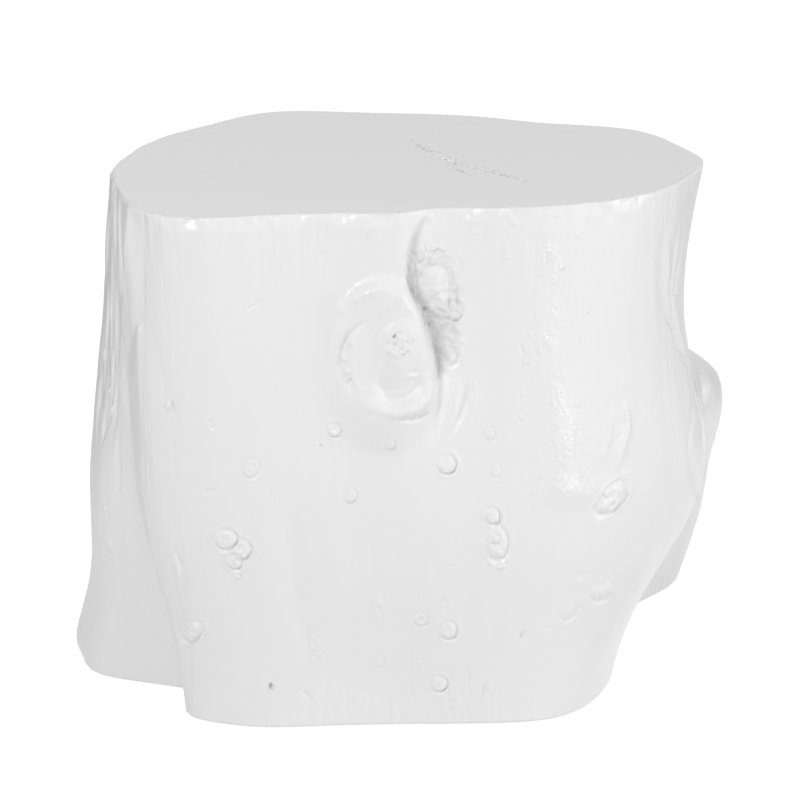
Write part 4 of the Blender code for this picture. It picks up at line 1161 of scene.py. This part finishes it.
def colour(values, share=1.0):
    """A socket's colour from three values, darker or paler by share."""
    return (*(min(1.0, share * value) for value in values), 1.0)


def gel_coat(finish):
    """White gel coat: satin where it was sanded and glossy where it wasn't, with grain, pebbling, bark and stain."""
    sheet = new_sheet("gel_coat")
    cloudy = sheet.noise((9, 9, 5), 3)
    white = sheet.mix(cloudy * 0.35, colour(finish.coat), colour(finish.coat, 0.985))
    stain = sheet.field("stain") * sheet.range(sheet.noise((420, 420, 420), 3), 0.35, 0.6)
    grain = sheet.noise((620, 620, 16), 3) * 0.7 + sheet.noise((1300, 1300, 30), 2) * 0.3
    peel = sheet.noise((140, 140, 60), 2)
    pebble = sheet.noise((440, 440, 440), 2)
    crumb = sheet.noise((520, 520, 420), 4) * 0.8 + sheet.noise((1000, 1000, 170), 3) * 0.7
    height = sheet.field("grain") * grain * 0.22 + sheet.field("pebble") * pebble * 0.40 + peel * 0.08
    height = height + sheet.field("bark") * crumb * 1.5
    rough = sheet.noise((40, 40, 18), 2) * 0.10 + (finish.coat_roughness - 0.05)
    rough = rough - sheet.field("gloss") * (finish.coat_roughness - 0.13)
    return sheet.finish(
        Base_Color=sheet.mix(stain, white, colour(finish.stain)),
        Roughness=rough + stain * 0.3,
        Normal=sheet.bump(height, 1.0 * MM),
    )


def plywood(finish):
    """Sanded plywood: a long grain along X, darker late wood, and a faint sheen."""
    sheet = new_sheet("plywood")
    rings = sheet.noise((6, 90, 90), 4, 0.6)
    fibre = sheet.noise((40, 900, 900), 2)
    share = sheet.range(rings, 0.35, 0.65) * 0.6 + fibre * 0.25
    return sheet.finish(
        Base_Color=sheet.mix(share, colour(finish.plywood), colour(finish.plywood, 0.72)),
        Roughness=fibre * 0.15 + 0.6,
        Normal=sheet.bump(rings * 0.4 + fibre * 0.6, 0.25 * MM),
    )


def timber(finish):
    """Sawn softwood: upright grain with saw marks across it."""
    sheet = new_sheet("timber")
    rings = sheet.noise((120, 120, 8), 4, 0.5)
    saw = sheet.noise((30, 30, 900), 1)
    return sheet.finish(
        Base_Color=sheet.mix(sheet.range(rings, 0.3, 0.7) * 0.7, colour(finish.timber), colour(finish.timber, 0.70)),
        Roughness=saw * 0.15 + 0.68,
        Normal=sheet.bump(rings * 0.5 + saw * 0.5, 0.3 * MM),
    )


def zinc(finish):
    """Zinc-plated steel: mottled tone, brushed roughness."""
    sheet = new_sheet("zinc")
    mottle = sheet.noise((900, 900, 900), 3)
    return sheet.finish(
        Base_Color=sheet.mix(mottle, colour(finish.zinc), colour(finish.zinc, 1.15)),
        Roughness=mottle * 0.2 + 0.28,
        Metallic=1.0,
        Normal=sheet.bump(mottle, 0.03 * MM),
    )


def glide_plastic(finish):
    """Hard white plastic with a fine moulded texture and a little wear."""
    sheet = new_sheet("glide_plastic")
    texture = sheet.noise((1500, 1500, 1500), 2)
    scuff = sheet.noise((160, 160, 160), 3)
    return sheet.finish(
        Base_Color=sheet.mix(sheet.range(scuff, 0.45, 0.7), colour(finish.glide), colour(finish.glide, 0.9)),
        Roughness=texture * 0.12 + 0.38,
        Normal=sheet.bump(texture, 0.05 * MM),
    )


# Operators


def skin_grid(shape):
    """The panels' columns, all their bearings, the rows' heights and insets, and the move onto the solid shell."""
    columns = panel_columns(shape)
    bearings = np.concatenate([run[:-1] for run in columns])
    heights, inset = row_levels(shape)
    return columns, bearings, heights, inset, box_shift(plain_wall(shape, bearings, heights))


def add_to_shell(piece, coat):
    """Gives a piece of the skin its finish and its place in the frame."""
    piece.data.materials.append(coat)
    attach(piece, "root")
    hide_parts("trunk_shell")


class STOOL_OT_wall(Operator):
    """Builds the skin of the shell's wall, in panels that meet edge to edge"""

    bl_idname = "stool.wall"
    bl_label = "Wall skin"

    def execute(self, context):
        shape = context.scene.stool_shape
        columns, bearings, heights, inset, shift = skin_grid(shape)
        points, out, relief, finish_fields = skin(shape, bearings, heights, inset)
        points += shift
        normals = grid_normals(points)
        normals[-1] = (0, 0, 1)
        coat = gel_coat(context.scene.stool_finish)
        rows = np.arange(0, len(heights), LINING_STEP)
        start = 0
        for (name, *_), run in zip(PANELS, columns):
            take = np.arange(start, start + len(run)) % len(bearings)
            start += len(run) - 1
            outer = points[:, take]
            thin = np.minimum(relief[:, take], 0)
            cols = np.arange(0, len(run), LINING_STEP)
            lattice = np.ix_(rows, cols)
            room = shape.wall + deepest(-thin, rows, cols) + thin[lattice]
            lining = pushed(outer[lattice], out[:, take][lattice], -room)
            lining[-1, :, :2] = outer[-1, cols, :2]
            lining[-1, :, 2] = shape.height - shape.seat_skin
            vertices, quads, fans = closed_panel(outer, lining)
            spare = np.zeros(lining[..., 0].size)
            fields = {key: np.concatenate([values[:, take].ravel(), spare]) for key, values in finish_fields.items()}
            fields["stain"] = np.zeros(len(vertices))
            panel_normals = normals[:, take].reshape(-1, 3)
            outer_quads = (outer.shape[0] - 1) * (outer.shape[1] - 1)
            add_to_shell(make_mesh(name, vertices, quads, fans, fields, panel_normals, outer_quads), coat)
        return {"FINISHED"}


def cells_round(places):
    """The fine rows or columns round each lining point, up to the next lining point on both sides."""
    return [slice(max(0, place - LINING_STEP), place + LINING_STEP + 1) for place in places]


def deepest(depth, rows, cols):
    """The largest depth in the cells round each lining point."""
    return np.array([[depth[high, wide].max() for wide in cells_round(cols)] for high in cells_round(rows)])


class STOOL_OT_seat(Operator):
    """Builds the seat's face, a disc of rings inside the wall's top edge, with the crack across it"""

    bl_idname = "stool.seat"
    bl_label = "Seat face"

    def execute(self, context):
        shape = context.scene.stool_shape
        _, bearings, heights, inset, shift = skin_grid(shape)
        rim = skin(shape, bearings, heights[-1:], inset[-1:])[0][0]
        middle = np.array([0.0, 0.0, shape.height])
        rings = middle + SEAT_RING_SHARES[:, None, None] * (rim - middle)
        rings = np.concatenate([rings, np.broadcast_to(middle, (1, 1, 3)).repeat(len(bearings), 1)])
        sunk, stain = seat_relief(rings, shape)
        rings[1:, :, 2] += sunk[1:]
        rings += shift
        vertices, quads, triangles, fields = seat_body(rings, stain, shape)
        normals = grid_normals(rings[:-1])
        normals[0] = (0, 0, 1)
        top_quads = (len(SEAT_RING_SHARES) - 1) * len(bearings)
        face = make_mesh("seat_face", vertices, quads, triangles, fields, normals.reshape(-1, 3), top_quads)
        add_to_shell(face, bpy.data.materials["gel_coat"])
        return {"FINISHED"}


def crack_distance(places, run, height):
    """Distance from a run of points on the seat, as a share of the run's half width there."""
    run = np.array(run, float)
    widths = run[:, 2] * MM
    return nearest_on_run(places, on_seat(run[:, :2], height), widths, widths)[0]


def seat_relief(rings, shape):
    """The seat's height and stain: a crack of broken pits with low swollen lips, small marks, and a faint wave."""
    plan = rings[..., :2]
    flat = rings.copy()
    flat[..., 2] = 0
    main, branch = (crack_distance(plan, run, shape.height) for run in (SEAT_CRACK, SEAT_BRANCH))
    away = np.minimum(main, branch * 1.2)
    broken = layered(flat, SEAT_BREAKS)
    pits = smooth_step((broken + 0.55 - 0.75 * away) / 0.42) * smooth_step((1.5 - away) / 0.7)
    lips = np.exp(-(((away - 1.5) / 0.6) ** 2)) * (0.5 + 0.5 * layered(flat, SEAT_LIPS))
    sunk = -SEAT_PIT_DEPTH * pits + SEAT_LIP_HEIGHT * lips
    for across, down, half, height in SEAT_MARKS:
        spot = on_seat([(across, down)], shape.height)[0]
        gap = np.linalg.norm(plan - spot, axis=-1) / (half * MM)
        sunk += MM * height * np.exp(-(gap**2))
    sunk += SEAT_WAVE_HEIGHT * layered(flat, SEAT_WAVES)
    return shape.relief * sunk, pits


def seat_body(rings, stain, shape):
    """The seat as a closed body: rings and a pole above, a plain under face and pole below, and a side between."""
    count = rings.shape[1]
    rows = len(rings) - 1
    under = np.concatenate([rings[0], rings[-1, :1]])
    under[:, 2] = shape.height - shape.seat_skin
    points = np.concatenate([rings[:-1].reshape(-1, 3), rings[-1, :1], under])
    around = np.append(np.arange(count), 0)
    pole = rows * count
    low = pole + 1
    face = grid_quads(count * np.arange(rows)[:, None] + around)
    side = grid_quads(np.array([[low], [0]]) + around)
    ring, after = around[:-1], around[1:]
    last = pole - count
    top_fan = np.stack([last + ring, last + after, np.full(count, pole)], -1)
    under_fan = np.stack([low + after, low + ring, np.full(count, low + count)], -1)
    fields = {key: np.zeros(len(points)) for key in ("pebble", "grain", "gloss", "bark")}
    fields["stain"] = np.concatenate([stain[:-1].ravel(), stain[-1, :1], np.zeros(count + 1)])
    return points, np.concatenate([face, side]), np.concatenate([top_fan, under_fan]), fields


class STOOL_OT_fittings(Operator):
    """Gives the boards, blocks, screws and glides their finishes"""

    bl_idname = "stool.fittings"
    bl_label = "Fittings"

    def execute(self, context):
        finish = context.scene.stool_finish
        made = {make.__name__: make(finish) for make in (plywood, timber, zinc, glide_plastic)}
        slots = {part["node"]: part["material_slot"] for part in frame["record"]["subparts"]}
        for node, thing in frame["nodes"].items():
            if slots[node] in made:
                thing.data.materials.clear()
                thing.data.materials.append(made[slots[node]])
        return {"FINISHED"}


def add_floor(stage):
    """A pale floor. Camera, mirror and glass rays see it brighter, up to white, and it keeps the stool's shadow."""
    sheet = new_sheet("floor")
    speck = sheet.noise((60, 60, 60), 2)
    tone = sheet.mix(speck * 0.2, colour(stage.floor), colour(stage.floor, 0.98))
    matt = sheet.add("ShaderNodeBsdfDiffuse", {}, {"Color": tone})
    dim = sheet.add("ShaderNodeBsdfDiffuse", {}, {"Color": colour(stage.floor, 0.55)})
    glow = sheet.add("ShaderNodeEmission", {}, {"Color": WHITE, "Strength": FLOOR_GLOW})
    sheet.split_by_ray(matt, sheet.add("ShaderNodeAddShader", {}, {0: dim, 1: glow}), "Material Output")
    corners = [(right * FLOOR_HALF, back * FLOOR_HALF, 0) for right, back in ((-1, -1), (1, -1), (1, 1), (-1, 1))]
    add_flat("floor", corners, sheet.owner)


def add_flat(name, corners, material):
    """A flat thing of the stage with four corners."""
    mesh = bpy.data.meshes.new(name)
    mesh.from_pydata(corners, [], [(0, 1, 2, 3)])
    mesh.materials.append(material)
    thing = add_object(name, mesh)
    return thing


def add_lamp(name, place, target, size, power):
    """A soft lamp at place, aimed at target."""
    lamp = bpy.data.lights.new(name, "AREA")
    lamp.shape = "RECTANGLE"
    lamp.size, lamp.size_y = size
    lamp.energy = power
    thing = add_object(name, lamp)
    thing.location = place
    thing.rotation_euler = (Vector(target) - Vector(place)).to_track_quat("-Z", "Y").to_euler()


def add_card(name, across, reach, height):
    """A studio's dark card on edge beside the stool. It darkens the pale sides' outlines and keeps out of view."""
    near, far = reach
    sheet = new_sheet(name)
    felt = sheet.mix(sheet.noise((200, 200, 200), 2), *(colour([tone] * 3) for tone in CARD_TONES))
    corners = [(across, near, 0), (across, far, 0), (across, far, height), (across, near, height)]
    card = add_flat(name, corners, sheet.finish(Base_Color=felt, Roughness=0.9))
    card.visible_camera = False
    card.visible_shadow = False


def add_surroundings(scene, strength):
    """Even light from all round, which camera, mirror and glass rays see as white."""
    scene.world = bpy.data.worlds.new("surroundings")
    sheet = Sheet(scene.world, "Background")
    plain = sheet.add("ShaderNodeBackground", {}, {"Color": WHITE, "Strength": strength})
    white = sheet.add("ShaderNodeBackground", {}, {"Color": WHITE, "Strength": 1.0})
    sheet.split_by_ray(plain, white, "World Output")


def add_camera(scene):
    """The photograph's camera, moved with the skin onto the solid shell."""
    camera = bpy.data.cameras.new("camera")
    camera.sensor_width = SENSOR_MM
    camera.lens = SENSOR_MM * FOCAL_LENGTH_PX / PICTURE_SIDE
    camera.clip_end = CAMERA_SIGHT
    shape = scene.stool_shape
    plain = plain_wall(shape, np.arange(BOX_SAMPLES) / BOX_SAMPLES, row_levels(shape)[0])
    scene.camera = add_object("camera", camera)
    scene.camera.location = camera_place() + box_shift(plain)
    scene.camera.rotation_euler = (math.pi / 2 - CAMERA_PITCH, 0, 0)


class STOOL_OT_stage(Operator):
    """Sets up the floor, the lamps, the cards, the surroundings and the camera"""

    bl_idname = "stool.stage"
    bl_label = "Studio"

    def execute(self, context):
        scene = context.scene
        stage = scene.stool_stage
        add_floor(stage)
        for name, place, target, size in LAMPS:
            add_lamp(name, place, target, size, getattr(stage, name))
        for card in CARDS:
            add_card(*card)
        add_surroundings(scene, stage.surroundings)
        add_camera(scene)
        scene.view_settings.view_transform = "Standard"
        return {"FINISHED"}


class STOOL_PT_panel(Panel):
    """Lists the stool's operators and settings"""

    bl_label = "Log stool"
    bl_space_type = "VIEW_3D"
    bl_region_type = "UI"
    bl_category = "Log stool"

    def draw(self, context):
        layout = self.layout
        for operator in OPERATORS:
            layout.operator(operator.bl_idname)
        for group in (context.scene.stool_shape, context.scene.stool_finish, context.scene.stool_stage):
            box = layout.box()
            for name in group.__annotations__:
                box.prop(group, name)


OPERATORS = (STOOL_OT_wall, STOOL_OT_seat, STOOL_OT_fittings, STOOL_OT_stage)
CLASSES = (StoolShape, StoolFinish, StoolStage, *OPERATORS, STOOL_PT_panel)


def register():
    for kind in CLASSES:
        bpy.utils.register_class(kind)
    bpy.types.Scene.stool_shape = PointerProperty(type=StoolShape)
    bpy.types.Scene.stool_finish = PointerProperty(type=StoolFinish)
    bpy.types.Scene.stool_stage = PointerProperty(type=StoolStage)


def unregister():
    del bpy.types.Scene.stool_shape
    del bpy.types.Scene.stool_finish
    del bpy.types.Scene.stool_stage
    for kind in reversed(CLASSES):
        bpy.utils.unregister_class(kind)


def main():
    register()
    bpy.ops.stool.wall()
    bpy.ops.stool.seat()
    bpy.ops.stool.fittings()
    bpy.ops.stool.stage()
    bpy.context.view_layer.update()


if __name__ == "__main__":
    main()
